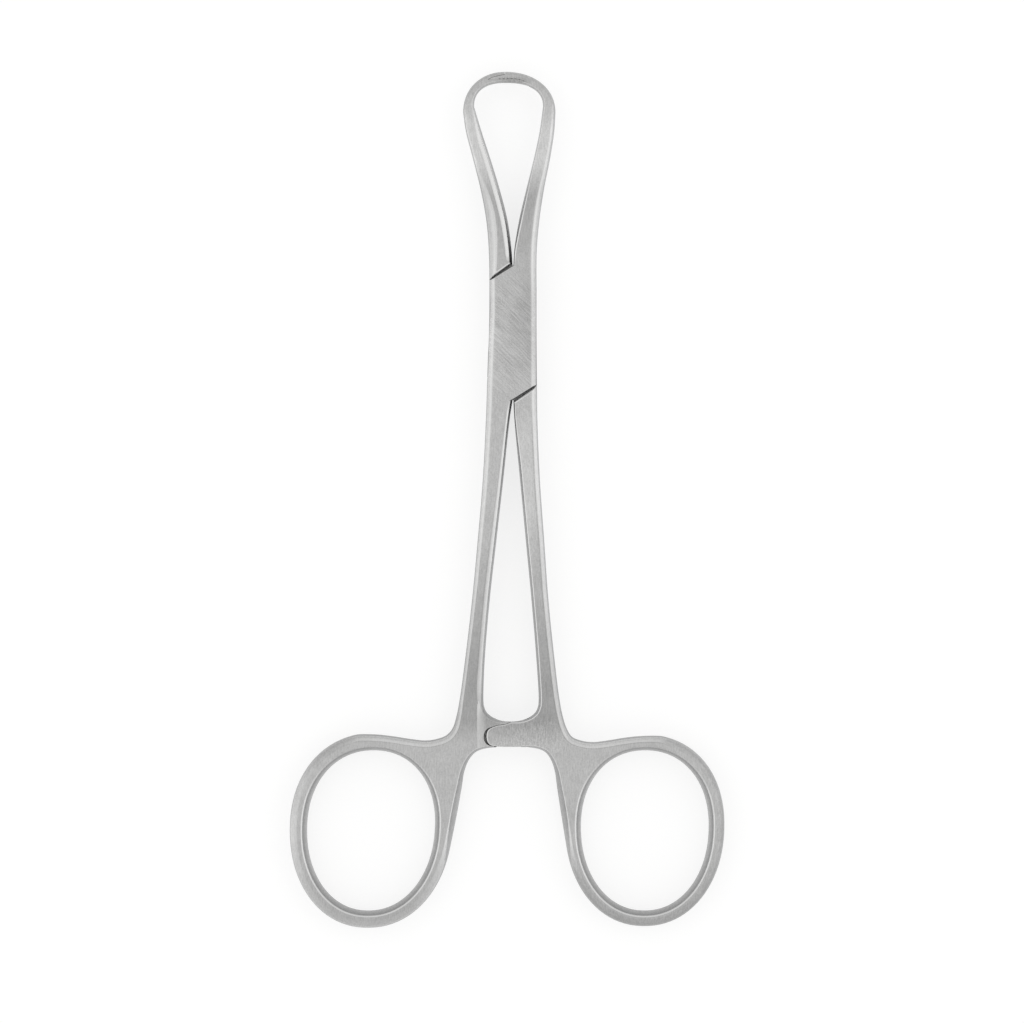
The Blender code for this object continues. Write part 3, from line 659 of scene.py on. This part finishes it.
def filletCrease(name, half):
    # the inner bevel's line runs straight on over the fillet beside the other half's nose, and fades; its
    # bright line is partly the facet's tilt and partly painted highlight
    facing = half["mirror"]
    line = -half["shank"][-1][2] - shanks["creaseStart"]
    near, far = (line + width for width in shanks["creaseWidths"])
    bm = bmesh.new()
    grindAndPaintedLight = bm.loops.layers.float_color.new("grindAndPaintedLight")
    rows = []
    for rise, (nearFall, farFall), _ in shanks["crease"]:
        y = rise - shanks["reach"]
        top = halfThickness(y)
        profile = ((line, 0), (near, -nearFall), (far, -farFall), (far, 1), (line, 1))
        rows.append([bm.verts.new(toFrame(x, y, facing * (top + z), facing)) for x, z in profile])
    bm.faces.new(rows[0])
    bm.faces.new(rows[-1])
    for r, i, _, face in sideFaces(bm, rows):
        above, below = shanks["crease"][r][2], shanks["crease"][r + 1][2]
        strip = min(i, 1)
        outer = 1 - strip
        corners = (above[strip], above[strip] * outer, below[strip] * outer, below[strip])
        for loop, polishAndHighlight in zip(face.loops, corners):
            loop[grindAndPaintedLight] = (polishAndHighlight, 0, 0, 1)
    return meshObject(name, bm)


def ratchetTeeth(name, half):
    facing = half["mirror"]
    root = -facing * (shanks["armGap"] / 2 + shanks["toothDepth"])
    crest = -facing * shanks["armGap"] / 2
    clear = facing * shanks["armGap"]
    start = -facing * shanks["toothPitch"] * shanks["teeth"] / 2
    profile = []
    for tooth in range(shanks["teeth"]):
        x = start + facing * tooth * shanks["toothPitch"]
        profile += [(x, crest), (x + facing * shanks["toothBack"], root)]
    end = start + facing * shanks["teeth"] * shanks["toothPitch"]
    profile += [(end, crest), (end, clear), (start, clear)]
    near = -shanks["reach"] + shanks["noseHeight"]
    far = -armLevel - shanks["noseHeight"]
    return closedCutter(name, [[toFrame(x, y, z) for x, z in profile] for y in (near, far)])


tip = {
    "upperLip": 1.1,
    "tongue": 3.8,
    "tongueRise": 0.36,
    "riseAt": 0.84,  # share of the tongue's length
    "lowerLip": 2.4,
    "prong": 1.2,
    "prongThickness": 0.48,
    "gap": 0.01,
    "backGap": 0.05,
    "fall": (0.16, 1.5),  # of the seam towards the lip: share, and power of the way
    "pitch": 0.6,
    "notch": (0.44, 0.04),  # width and depth of a serration
    "serrations": 7,
    "serrationMiddle": -0.2,
}
tipRoof = jaws["reach"] + jaws["lipBand"]
seamRadius = jaws["reach"] - tip["upperLip"]


def seamPoint(x, radius):
    share, power = tip["fall"]
    radius -= share * max(0.0, x) ** power
    return (x, (radius**2 - x**2) ** 0.5)


def tipSeam(offset, notch):
    radius = seamRadius + offset
    width = tip["notch"][0] / 2
    points = [seamPoint(-tip["tongue"], radius)]
    for i in range(tip["serrations"]):
        x = tip["serrationMiddle"] + tip["pitch"] * (i - (tip["serrations"] - 1) / 2)
        points += [seamPoint(x - width, radius), seamPoint(x, radius + notch), seamPoint(x + width, radius)]
    points.append(seamPoint(tip["lowerLip"], radius))
    return points


def tongueBack(offset):
    end = seamPoint(-tip["tongue"], seamRadius)
    return [
        (end[0] - offset, end[1] + offset / 2),
        (end[0] * tip["riseAt"] - offset / 2, end[1] + tip["tongueRise"] + offset),
        (-tip["prong"] - offset, jaws["reach"] - tip["prongThickness"] + offset),
    ]


def rightTipCutter():
    seam, back = tipSeam(0.0, tip["notch"][1]), tongueBack(0.0)
    lip = tip["lowerLip"] + tip["gap"]
    shape = [(lip, tipFloor), (-maleHalf["loop"], tipFloor), (-maleHalf["loop"], tipRoof)]
    shape += [(-tip["prong"], tipRoof), *back[:0:-1], *seam[:-1], (lip, seam[-1][1])]
    return loft("cutRightTip", [(shape, -lock["thickness"]), (shape, lock["thickness"])])


def leftTipCutter():
    seam, back = tipSeam(-tip["gap"], -tip["notch"][1]), tongueBack(tip["backGap"])
    far = femaleHalf["loop"]
    shape = [(tip["lowerLip"], tipFloor), (far, tipFloor), (far, tipRoof)]
    shape += [(-tip["prong"] - tip["gap"], tipRoof), *back[::-1], *seam]
    return loft("cutLeftTip", [(shape, -lock["thickness"]), (shape, lock["thickness"])])


def carve(piece, cutters, materials):
    for material in materials:
        piece.data.materials.append(material)
    for cutter in cutters:
        for material in materials:
            cutter.data.materials.append(material)
        boolean = piece.modifiers.new(cutter.name, "BOOLEAN")
        boolean.operation = "DIFFERENCE"
        boolean.solver = "EXACT"
        boolean.use_self = cutter is cutters[0]
        boolean.material_mode = "TRANSFER"
        boolean.object = cutter
    graph = bpy.context.evaluated_depsgraph_get()
    carved = bpy.data.meshes.new_from_object(piece.evaluated_get(graph))
    piece.modifiers.clear()
    piece.data = carved
    for cutter in cutters:
        bpy.data.objects.remove(cutter, do_unlink=True)
    carved.shade_smooth()
    carved.set_sharp_from_angle(angle=smoothness["sharp"])
    print(piece.name, len(carved.polygons), "faces", [slot.name for slot in piece.material_slots])


# Effects shared by the steels


def startGroup(name, inputs, outputs):
    tree = bpy.data.node_groups.new(name, "ShaderNodeTree")
    for label, value in inputs:
        socket = tree.interface.new_socket(label, in_out="INPUT", socket_type="NodeSocketFloat")
        socket.default_value = value
    for label in outputs:
        tree.interface.new_socket(label, in_out="OUTPUT", socket_type="NodeSocketFloat")
    return tree, tree.nodes.new("NodeGroupInput"), tree.nodes.new("NodeGroupOutput")


def feed(tree, socket, value):
    if isinstance(value, bpy.types.NodeSocket):
        tree.links.new(value, socket)
    else:
        socket.default_value = value


def mathNode(tree, operation, *values):
    node = tree.nodes.new("ShaderNodeMath")
    node.operation = operation
    for socket, value in zip(node.inputs, values):
        feed(tree, socket, value)
    return node.outputs[0]


def mapRange(tree, value, fromLow, fromHigh, toLow, toHigh):
    node = tree.nodes.new("ShaderNodeMapRange")
    for socket, number in zip(node.inputs, (value, fromLow, fromHigh, toLow, toHigh)):
        feed(tree, socket, number)
    return node.outputs[0]


def placeIn(tree, kind="Object"):
    return tree.nodes.new("ShaderNodeTexCoord").outputs[kind]


def splitPlace(tree, kind="Object"):
    parts = tree.nodes.new("ShaderNodeSeparateXYZ")
    tree.links.new(placeIn(tree, kind), parts.inputs["Vector"])
    return parts.outputs


def seededNoise(tree, place, seed, scale, detail, roughness=0.5):
    noise = tree.nodes.new("ShaderNodeTexNoise")
    noise.noise_dimensions = "4D"
    values = {"Vector": place, "W": seed, "Scale": scale, "Detail": detail, "Roughness": roughness}
    for label, value in values.items():
        feed(tree, noise.inputs[label], value)
    return noise.outputs["Fac"]


def strokeGrain():
    # grinding strokes: length and width in mm, turned about Z
    inputs = (("Turn", 0.0), ("Length", 4.0), ("Width", 0.2), ("Seed", 0.0))
    tree, given, out = startGroup("strokeGrain", inputs, ("Height",))
    turned = tree.nodes.new("ShaderNodeVectorRotate")
    turned.rotation_type = "Z_AXIS"
    tree.links.new(placeIn(tree), turned.inputs["Vector"])
    tree.links.new(given.outputs["Turn"], turned.inputs["Angle"])
    scales = tree.nodes.new("ShaderNodeCombineXYZ")
    lengthwise = mathNode(tree, "DIVIDE", 1 / mm, given.outputs["Length"])
    across = mathNode(tree, "DIVIDE", 1 / mm, given.outputs["Width"])
    tree.links.new(lengthwise, scales.inputs["X"])
    tree.links.new(across, scales.inputs["Y"])
    tree.links.new(across, scales.inputs["Z"])
    scaled = tree.nodes.new("ShaderNodeVectorMath")
    scaled.operation = "MULTIPLY"
    tree.links.new(turned.outputs["Vector"], scaled.inputs[0])
    tree.links.new(scales.outputs["Vector"], scaled.inputs[1])
    height = seededNoise(tree, scaled.outputs["Vector"], given.outputs["Seed"], 1.0, 3.0, 0.6)
    tree.links.new(height, out.inputs["Height"])
    return tree


def softClouds():
    # broad unevenness of hand grinding, size in mm
    tree, given, out = startGroup("softClouds", (("Size", 6.0), ("Seed", 0.0)), ("Shade",))
    scale = mathNode(tree, "DIVIDE", 1 / mm, given.outputs["Size"])
    shade = seededNoise(tree, placeIn(tree), given.outputs["Seed"], scale, 2.0)
    tree.links.new(mapRange(tree, shade, 0.3, 0.7, 0.0, 1.0), out.inputs["Shade"])
    return tree


def speckle():
    # the matt grain of blasted and polished steel, size in mm
    tree, given, out = startGroup("speckle", (("Size", 0.2), ("Seed", 0.0)), ("Height",))
    scale = mathNode(tree, "DIVIDE", 1 / mm, given.outputs["Size"])
    height = seededNoise(tree, placeIn(tree), given.outputs["Seed"], scale, 1.0)
    tree.links.new(height, out.inputs["Height"])
    return tree


def spot():
    # 1 at a place and up to 0.4 of its reach, fading to 0 at its reach along each axis; measures in mm
    inputs = [(label + axis, 0.0) for label in ("At ", "Reach ") for axis in "XY"]
    tree, given, out = startGroup("spot", inputs, ("Mask",))
    parts = splitPlace(tree)
    squares = []
    for axis in "XY":
        level = mathNode(tree, "MULTIPLY", parts[axis], 1 / mm)
        away = mathNode(tree, "SUBTRACT", level, given.outputs["At " + axis])
        share = mathNode(tree, "DIVIDE", away, given.outputs["Reach " + axis])
        squares.append(mathNode(tree, "MULTIPLY", share, share))
    away = mathNode(tree, "SQRT", mathNode(tree, "ADD", *squares))
    tree.links.new(mapRange(tree, away, 0.4, 1.0, 1.0, 0.0), out.inputs["Mask"])
    return tree


# level in mm above the pin, and tone of the flats there
flatTones = (
    (-92, 0.5),
    (-75, 0.57),
    (-67, 0.59),
    (-62.5, 0.58),
    (-59, 0.44),
    (-54, 0.43),
    (-47, 0.47),
    (-38, 0.55),
    (-28, 0.61),
    (-17, 0.62),
    (-9, 0.58),
    (10, 0.55),
    (17, 0.49),
    (21, 0.49),
    (26, 0.74),
    (32, 0.7),
    (35, 0.62),
    (40, 0.54),
)


def toneAlong():
    # the flats' tone along the clamp, from rings to jaws
    tree, _, out = startGroup("toneAlong", (), ("Tone",))
    height = splitPlace(tree)["Y"]
    low, high = flatTones[0][0], flatTones[-1][0]
    share = mapRange(tree, height, pinAt.y + low * mm, pinAt.y + high * mm, 0.0, 1.0)
    ramp = tree.nodes.new("ShaderNodeValToRGB")
    stops = ramp.color_ramp.elements
    for level, _ in flatTones[1:-1]:
        stops.new((level - low) / (high - low))
    for stop, (_, tone) in zip(stops, flatTones):
        stop.color = (tone, tone, tone, 1)
    tree.links.new(share, ramp.inputs["Fac"])
    tree.links.new(ramp.outputs["Color"], out.inputs["Tone"])
    return tree


groups = {group.name: group for group in (strokeGrain(), softClouds(), speckle(), spot(), toneAlong())}
print("effects made:", ", ".join(groups))


def placeGroup(tree, kind, **values):
    node = tree.nodes.new("ShaderNodeGroup")
    node.node_tree = groups[kind]
    for label, value in values.items():
        node.inputs[label].default_value = value
    return node


def mixed(tree, share, first, second):
    node = tree.nodes.new("ShaderNodeMix")
    for label, value in (("Factor", share), ("A", first), ("B", second)):
        feed(tree, node.inputs[label], value)
    return node.outputs["Result"]


def placeStrokes(tree, strokes, seed=0.0):
    turn, length, width = strokes
    values = {"Turn": math.radians(turn), "Length": length, "Width": width, "Seed": seed}
    return placeGroup(tree, "strokeGrain", **values).outputs["Height"]


def placeClouds(tree, size, seed):
    return placeGroup(tree, "softClouds", Size=size, Seed=seed).outputs["Shade"]


def placeSpot(tree, place):
    x, y, across, reach = place
    values = {"At X": pinAt.x / mm + x, "At Y": pinAt.y / mm + y, "Reach X": across, "Reach Y": reach}
    return placeGroup(tree, "spot", **values).outputs["Mask"]


bumpHeight = 0.02  # mm, of every steel's grain


def newSteel(name):
    material = bpy.data.materials.new(name)
    material.use_nodes = True
    shader = material.node_tree.nodes["Principled BSDF"]
    shader.inputs["Metallic"].default_value = 1.0
    return material, material.node_tree, shader


def addBump(tree, shader, height, depth):
    bump = tree.nodes.new("ShaderNodeBump")
    bump.inputs["Distance"].default_value = bumpHeight * mm
    feed(tree, bump.inputs["Strength"], depth)
    tree.links.new(height, bump.inputs["Height"])
    tree.links.new(bump.outputs["Normal"], shader.inputs["Normal"])


satin = {
    "bevel": (0.79, 0.85),  # painted highlight: tones of the polished bevels, for dark and light grain
    # painted shade: tones of the dull walls, for dark and light grain
    "wall": (0.2, 0.32),
    "contrast": (0.3, 0.56),  # of the fine grain, and where the strokes are plain to see
    "roughness": (0.3, 0.42, 0.26, 0.45),  # smooth and rough strokes of the flats, bevels, walls
    "strokes": (90, 0.8, 0.18),  # turn in degrees, length and width
    "lockStrokes": (44, 2.2, 0.15),
    "lockSpot": (0.0, 0.0, 9.0, 15.0),  # place from the pin, and reach
    "lockPaintedLight": (1.11, 0.87),  # painted light: tone at the lock's left and right, its left lighter and its right darker
    "armSpot": (2.5, -61.5, 7.0, 4.0),
    "lightSpot": (1.7, -22.0, 2.5, 20.0),  # on the right shank
    "lightTone": 1.12,
    "speckle": 0.2,
    "dots": 0.35,  # share of the speckle among the strokes
    "cloudSize": 4.0,
    "clouds": 0.25,  # share of the clouds in the grain
    "streaks": (0.38, 0.62),  # heights between which the grain goes from dark to light
    "span": (0.35, 0.65),  # heights between which it goes from rough to smooth
    "depth": (0.45, 0.06),  # of the strokes, plain and polished
    "polished": 0.6,  # polish from which they are shallow
    "tipShadeSpot": (0.0, jaws["reach"] - 1.42, 3.2, 0.7),  # painted shade where the serrations of the two tips meet
    "tipShadeDepth": (0.56, 0.2),  # how dark the painted shade is in the strokes, and between them
    "tipShadeSpan": (0.4, 0.6),
}


def satinSteel():
    material, tree, shader = newSteel("satinSteel")
    fine = placeStrokes(tree, satin["strokes"])
    diagonal = placeStrokes(tree, satin["lockStrokes"], 3.0)
    onLock = placeSpot(tree, satin["lockSpot"])
    strokes = mixed(tree, onLock, fine, diagonal)
    dots = placeGroup(tree, "speckle", Size=satin["speckle"], Seed=2.0)
    height = mixed(tree, satin["dots"], strokes, dots.outputs["Height"])
    clouds = placeClouds(tree, satin["cloudSize"], 1.0)
    streaks = mapRange(tree, height, *satin["streaks"], 0.0, 1.0)
    grain = mixed(tree, satin["clouds"], streaks, clouds)
    grindAndPaintedLight = tree.nodes.new("ShaderNodeAttribute")
    grindAndPaintedLight.attribute_name = "grindAndPaintedLight"
    layers = tree.nodes.new("ShaderNodeSeparateColor")
    tree.links.new(grindAndPaintedLight.outputs["Color"], layers.inputs["Color"])
    polishAndHighlight, dullAndShade = layers.outputs["Red"], layers.outputs["Green"]
    onArm = placeSpot(tree, satin["armSpot"])
    plain = mathNode(tree, "MAXIMUM", onLock, onArm)
    spread = mixed(tree, plain, *satin["contrast"])
    swing = mathNode(tree, "MULTIPLY", mathNode(tree, "SUBTRACT", grain, 0.5), spread)
    contrast = mathNode(tree, "ADD", swing, 1.0)
    flat = placeGroup(tree, "toneAlong").outputs["Tone"]
    tone = mathNode(tree, "MULTIPLY", flat, contrast)
    # painted light: across the lock, its left lighter and its right darker
    sides = (pinAt.x - halfWidth * mm, pinAt.x + halfWidth * mm)
    shade = mapRange(tree, splitPlace(tree)["X"], *sides, *satin["lockPaintedLight"])
    tone = mathNode(tree, "MULTIPLY", tone, mixed(tree, onLock, 1.0, shade))
    light = placeSpot(tree, satin["lightSpot"])
    tone = mathNode(tree, "MULTIPLY", tone, mixed(tree, light, 1.0, satin["lightTone"]))
    # painted highlight: polished bevels take the bright bevel tones
    tone = mixed(tree, polishAndHighlight, tone, mapRange(tree, grain, 0.0, 1.0, *satin["bevel"]))
    # painted shade: dull walls and creases take the dark wall tones, partly a duller finish
    tone = mixed(tree, dullAndShade, tone, mapRange(tree, grain, 0.0, 1.0, *satin["wall"]))
    # painted shade in the seam where the tips' serrations meet, toward the dark wall tone
    tipShadeArea = placeSpot(tree, satin["tipShadeSpot"])
    tipShadeMask = mathNode(tree, "MULTIPLY", tipShadeArea, mapRange(tree, height, *satin["tipShadeSpan"], *satin["tipShadeDepth"]))
    tone = mixed(tree, tipShadeMask, tone, satin["wall"][0])
    tree.links.new(tone, shader.inputs["Base Color"])
    smooth, rough, bevelRough, wallRough = satin["roughness"]
    roughness = mapRange(tree, height, *satin["span"], rough, smooth)
    roughness = mixed(tree, polishAndHighlight, roughness, bevelRough)
    roughness = mixed(tree, dullAndShade, roughness, wallRough)
    tree.links.new(roughness, shader.inputs["Roughness"])
    addBump(tree, shader, height, mapRange(tree, polishAndHighlight, 0.0, satin["polished"], *satin["depth"]))
    return material


milled = {
    "tone": (0.2, 0.36),
    "roughness": (0.34, 0.5),
    "strokes": (60, 1.5, 0.15),
    "streaks": (0.3, 0.7),
    "cloudSize": 3.0,
    "clouds": 0.4,
    "depth": 0.3,
}


def milledSteel():
    # the faces cut for lock, tips and ratchet
    material, tree, shader = newSteel("milledSteel")
    height = placeStrokes(tree, milled["strokes"])
    clouds = placeClouds(tree, milled["cloudSize"], 5.0)
    streaks = mapRange(tree, height, *milled["streaks"], 0.0, 1.0)
    grain = mixed(tree, milled["clouds"], streaks, clouds)
    tree.links.new(mapRange(tree, grain, 0.0, 1.0, *milled["tone"]), shader.inputs["Base Color"])
    smooth, rough = milled["roughness"]
    roughness = mapRange(tree, height, *milled["streaks"], rough, smooth)
    tree.links.new(roughness, shader.inputs["Roughness"])
    addBump(tree, shader, height, milled["depth"])
    return material


materials = [satinSteel(), milledSteel()]
print("steels made:", ", ".join(material.name for material in materials))

# edges that change along a side: level in mm above the pin, and edge there
ringChanges = {
    "web": ((-64, "web"), (-71, "flank"), (-75, "flank"), (-79, "flankEnd")),
    "ringInside": ((-64.5, "ringRoof"), (-70, "ringInside")),
}

# knots are share of the way, flare beyond the lock's side, and inner edge
femaleHalf = {
    "mirror": 1,
    "jaw": (
        (0.11, 0.04, 0.22),
        (0.30, 0.43, 0.94),
        (0.50, 1.13, 2.03),
        (0.70, 2.06, 3.17),
        (0.88, 2.70, 4.06),
    ),
    "loop": 6.47,
    "farSide": 7.6,
    "jawWall": 1.9,
    "crest": -jaws["crest"],
    "changes": {
        **ringChanges,
        "outer": ((-14, "lockSide"), (-46, "thinSide"), (-56, "thinSide"), (-61, "neckSide")),
        "fork": (
            (-12, "lowCrotch"),
            (-34, "wideInside"),
            (-50, "wideInside"),
            (-55, "broadInside"),
            (-58, "filletSide"),
        ),
        "jawOuter": ((26, "rimSide"), (20, "jawEdge"), (10, "jawEdge"), (5, "boxSide")),
        "jawInner": ((24, "tipInside"), (20, "narrowInside"), (16, "darkSlit"), (12, "tightCrotch")),
        "cut": ((0, "seamLip"),),
        "ringOutside": ((-64, "ringRight"), (-74, "ringOutside"), (-80, "ringOutside"), (-88, "ringFoot")),
    },
    "lockSide": ((0.25, -0.03), (0.50, 0.12), (0.78, 0.30)),
    "jawFoot": (0.0, 0.0, 0.0),  # flares of the jaw's side inside the lock, from its foot up
    "shoulder": lock["seamDrop"],
    "shank": (
        (0.06, 0.54, 0.50),
        (0.25, 1.02, 1.49),
        (0.44, 1.80, 2.54),
        (0.62, 2.63, 3.53),
        (0.81, 3.71, 4.31),
        (0.93, 4.50, 4.52),
    ),
    "nose": 3.55,
    "facingNose": 4.1,
    "ringSpread": 21.65,
    "ringBand": 2.65,
    "ringLean": 0.033,
}

maleHalf = {
    "mirror": -1,
    "jaw": (
        (0.11, 0.11, 0.24),
        (0.30, 0.49, 0.85),
        (0.50, 1.35, 2.03),
        (0.70, 2.52, 3.45),
        (0.88, 3.60, 4.82),
    ),
    "loop": 7.6,
    "farSide": 6.47,
    "jawWall": 1.67,
    "crest": jaws["crest"],
    "changes": {
        **ringChanges,
        "outer": ((-11, "lockSide"), (-16, "broadSide"), (-58, "broadSide"), (-63, "neckSide")),
        "fork": ((-12, "fineCrotch"), (-20, "narrowInside")),
        "jawOuter": ((25, "plainSide"), (19, "jawSide"), (14, "jawSide"), (8, "seamSide")),
        "jawInner": ((34, "tipInside"), (30, "jawInside"), (16, "jawInside"), (12.5, "darkCrotch")),
        "ringOutside": ((0, "ringRight"),),
    },
    "lockSide": ((0.30, 0.0), (0.60, 0.02), (0.85, 0.05)),
    "jawFoot": (0.33, 0.22, 0.1),
    "shoulder": lock["tenonDrop"],
    "shank": (
        (0.06, 0.12, 0.20),
        (0.25, 0.51, 1.08),
        (0.44, 1.17, 1.96),
        (0.62, 1.79, 2.80),
        (0.81, 2.74, 3.57),
        (0.93, 3.46, 3.92),
    ),
    "nose": 4.1,
    "facingNose": 3.55,
    "ringSpread": 20.08,
    "ringBand": 2.4,
    "ringLean": -0.005,
}

female = forging("femaleForging", femaleHalf)
carve(
    female,
    [
        boxSlot(),
        pinBore(),
        armRelief("cutFemaleArm", femaleHalf),
        ratchetTeeth("cutFemaleTeeth", femaleHalf),
        filletCrease("cutFemaleCrease", femaleHalf),
        rightTipCutter(),
    ],
    materials,
)
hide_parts("female_half")
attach(female, "female")

male = forging("maleForging", maleHalf)
carve(
    male,
    [
        cheekRecess("cutFrontRecess", 1),
        cheekRecess("cutRearRecess", -1),
        pinBore(),
        armRelief("cutMaleArm", maleHalf),
        ratchetTeeth("cutMaleTeeth", maleHalf),
        filletCrease("cutMaleCrease", maleHalf),
        leftTipCutter(),
    ],
    materials,
)
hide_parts("male_half")
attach(male, "male")

pinNode = frame["nodes"]["lock_pin"]
pinNode.data.materials.clear()
pinNode.data.materials.append(materials[1])
print("pieces in place")


# Floor, light and camera

studio = {
    "floorSize": 2.4,
    "floor": 0.34,
    "floorRoughness": 0.9,
    "floorLift": 0.73,  # brings the lit floor up to the photograph's white
    "overhead": 0.8,
    "horizon": 0.9,
    "overheadFrom": 0.9,  # height from which the sky is as overhead
    "tint": (1.0, 0.998, 0.99, 1),
    "boxLevel": (0.15, 0.2),  # left and right
    "boxSize": (0.9, 1.2),
    "boxAway": 0.9,
    "boxHeight": 0.6,
}

floorMesh = bpy.data.meshes.new("floor")
far = studio["floorSize"]
floorMesh.from_pydata([(-far, -far, 0), (far, -far, 0), (far, far, 0), (-far, far, 0)], [], [(0, 1, 2, 3)])
floor = placeObject("floor", floorMesh)
paper = bpy.data.materials.new("whitePaper")
paper.use_nodes = True
tree = paper.node_tree
shader = tree.nodes["Principled BSDF"]
shader.inputs["Base Color"].default_value = (studio["floor"], studio["floor"], studio["floor"], 1)
shader.inputs["Roughness"].default_value = studio["floorRoughness"]
shader.inputs["Specular IOR Level"].default_value = 0.0
shader.inputs["Emission Color"].default_value = (1, 1, 1, 1)
rays = tree.nodes.new("ShaderNodeLightPath")
seen = mathNode(tree, "MAXIMUM", rays.outputs["Is Camera Ray"], rays.outputs["Is Glossy Ray"])
seen = mathNode(tree, "MAXIMUM", seen, rays.outputs["Is Transmission Ray"])
tree.links.new(mathNode(tree, "MULTIPLY", seen, studio["floorLift"]), shader.inputs["Emission Strength"])
floorMesh.materials.append(paper)

world = bpy.data.worlds.new("studio")
world.use_nodes = True
bpy.context.scene.world = world
tree = world.node_tree
background = tree.nodes["Background"]
height = splitPlace(tree, "Generated")["Z"]
level = mapRange(tree, height, 0.0, studio["overheadFrom"], studio["horizon"], studio["overhead"])
tree.links.new(level, background.inputs["Strength"])
background.inputs["Color"].default_value = studio["tint"]


def softbox(name, side, level):
    light = bpy.data.lights.new(name, "AREA")
    light.shape = "RECTANGLE"
    light.size, light.size_y = studio["boxSize"]
    light.energy = level * math.pi * light.size * light.size_y
    lamp = placeObject(name, light)
    lamp.location = (side * studio["boxAway"], 0.0, studio["boxHeight"])
    lamp.rotation_euler = (-lamp.location).to_track_quat("-Z", "Y").to_euler()


softbox("softboxLeft", -1, studio["boxLevel"][0])
softbox("softboxRight", 1, studio["boxLevel"][1])

photo = {
    "width": 1024,
    "height": 1023,
    "pinPixel": (513, 333),
    "pixel": 0.15240 * mm,
    "lens": 200,
    "clipEnd": 10,
}

cameraData = bpy.data.cameras.new("camera")
cameraData.lens = photo["lens"]
away = photo["width"] * photo["pixel"] * cameraData.lens / cameraData.sensor_width
camera = placeObject("camera", cameraData)
middle = (photo["width"] / 2, photo["height"] / 2)
camera.location = (
    pinAt.x + (middle[0] - photo["pinPixel"][0]) * photo["pixel"],
    pinAt.y + (photo["pinPixel"][1] - middle[1]) * photo["pixel"],
    pinAt.z + away,
)
cameraData.clip_end = photo["clipEnd"]
bpy.context.scene.camera = camera
bpy.context.scene.view_settings.view_transform = "Standard"
print("floor, light and camera set")
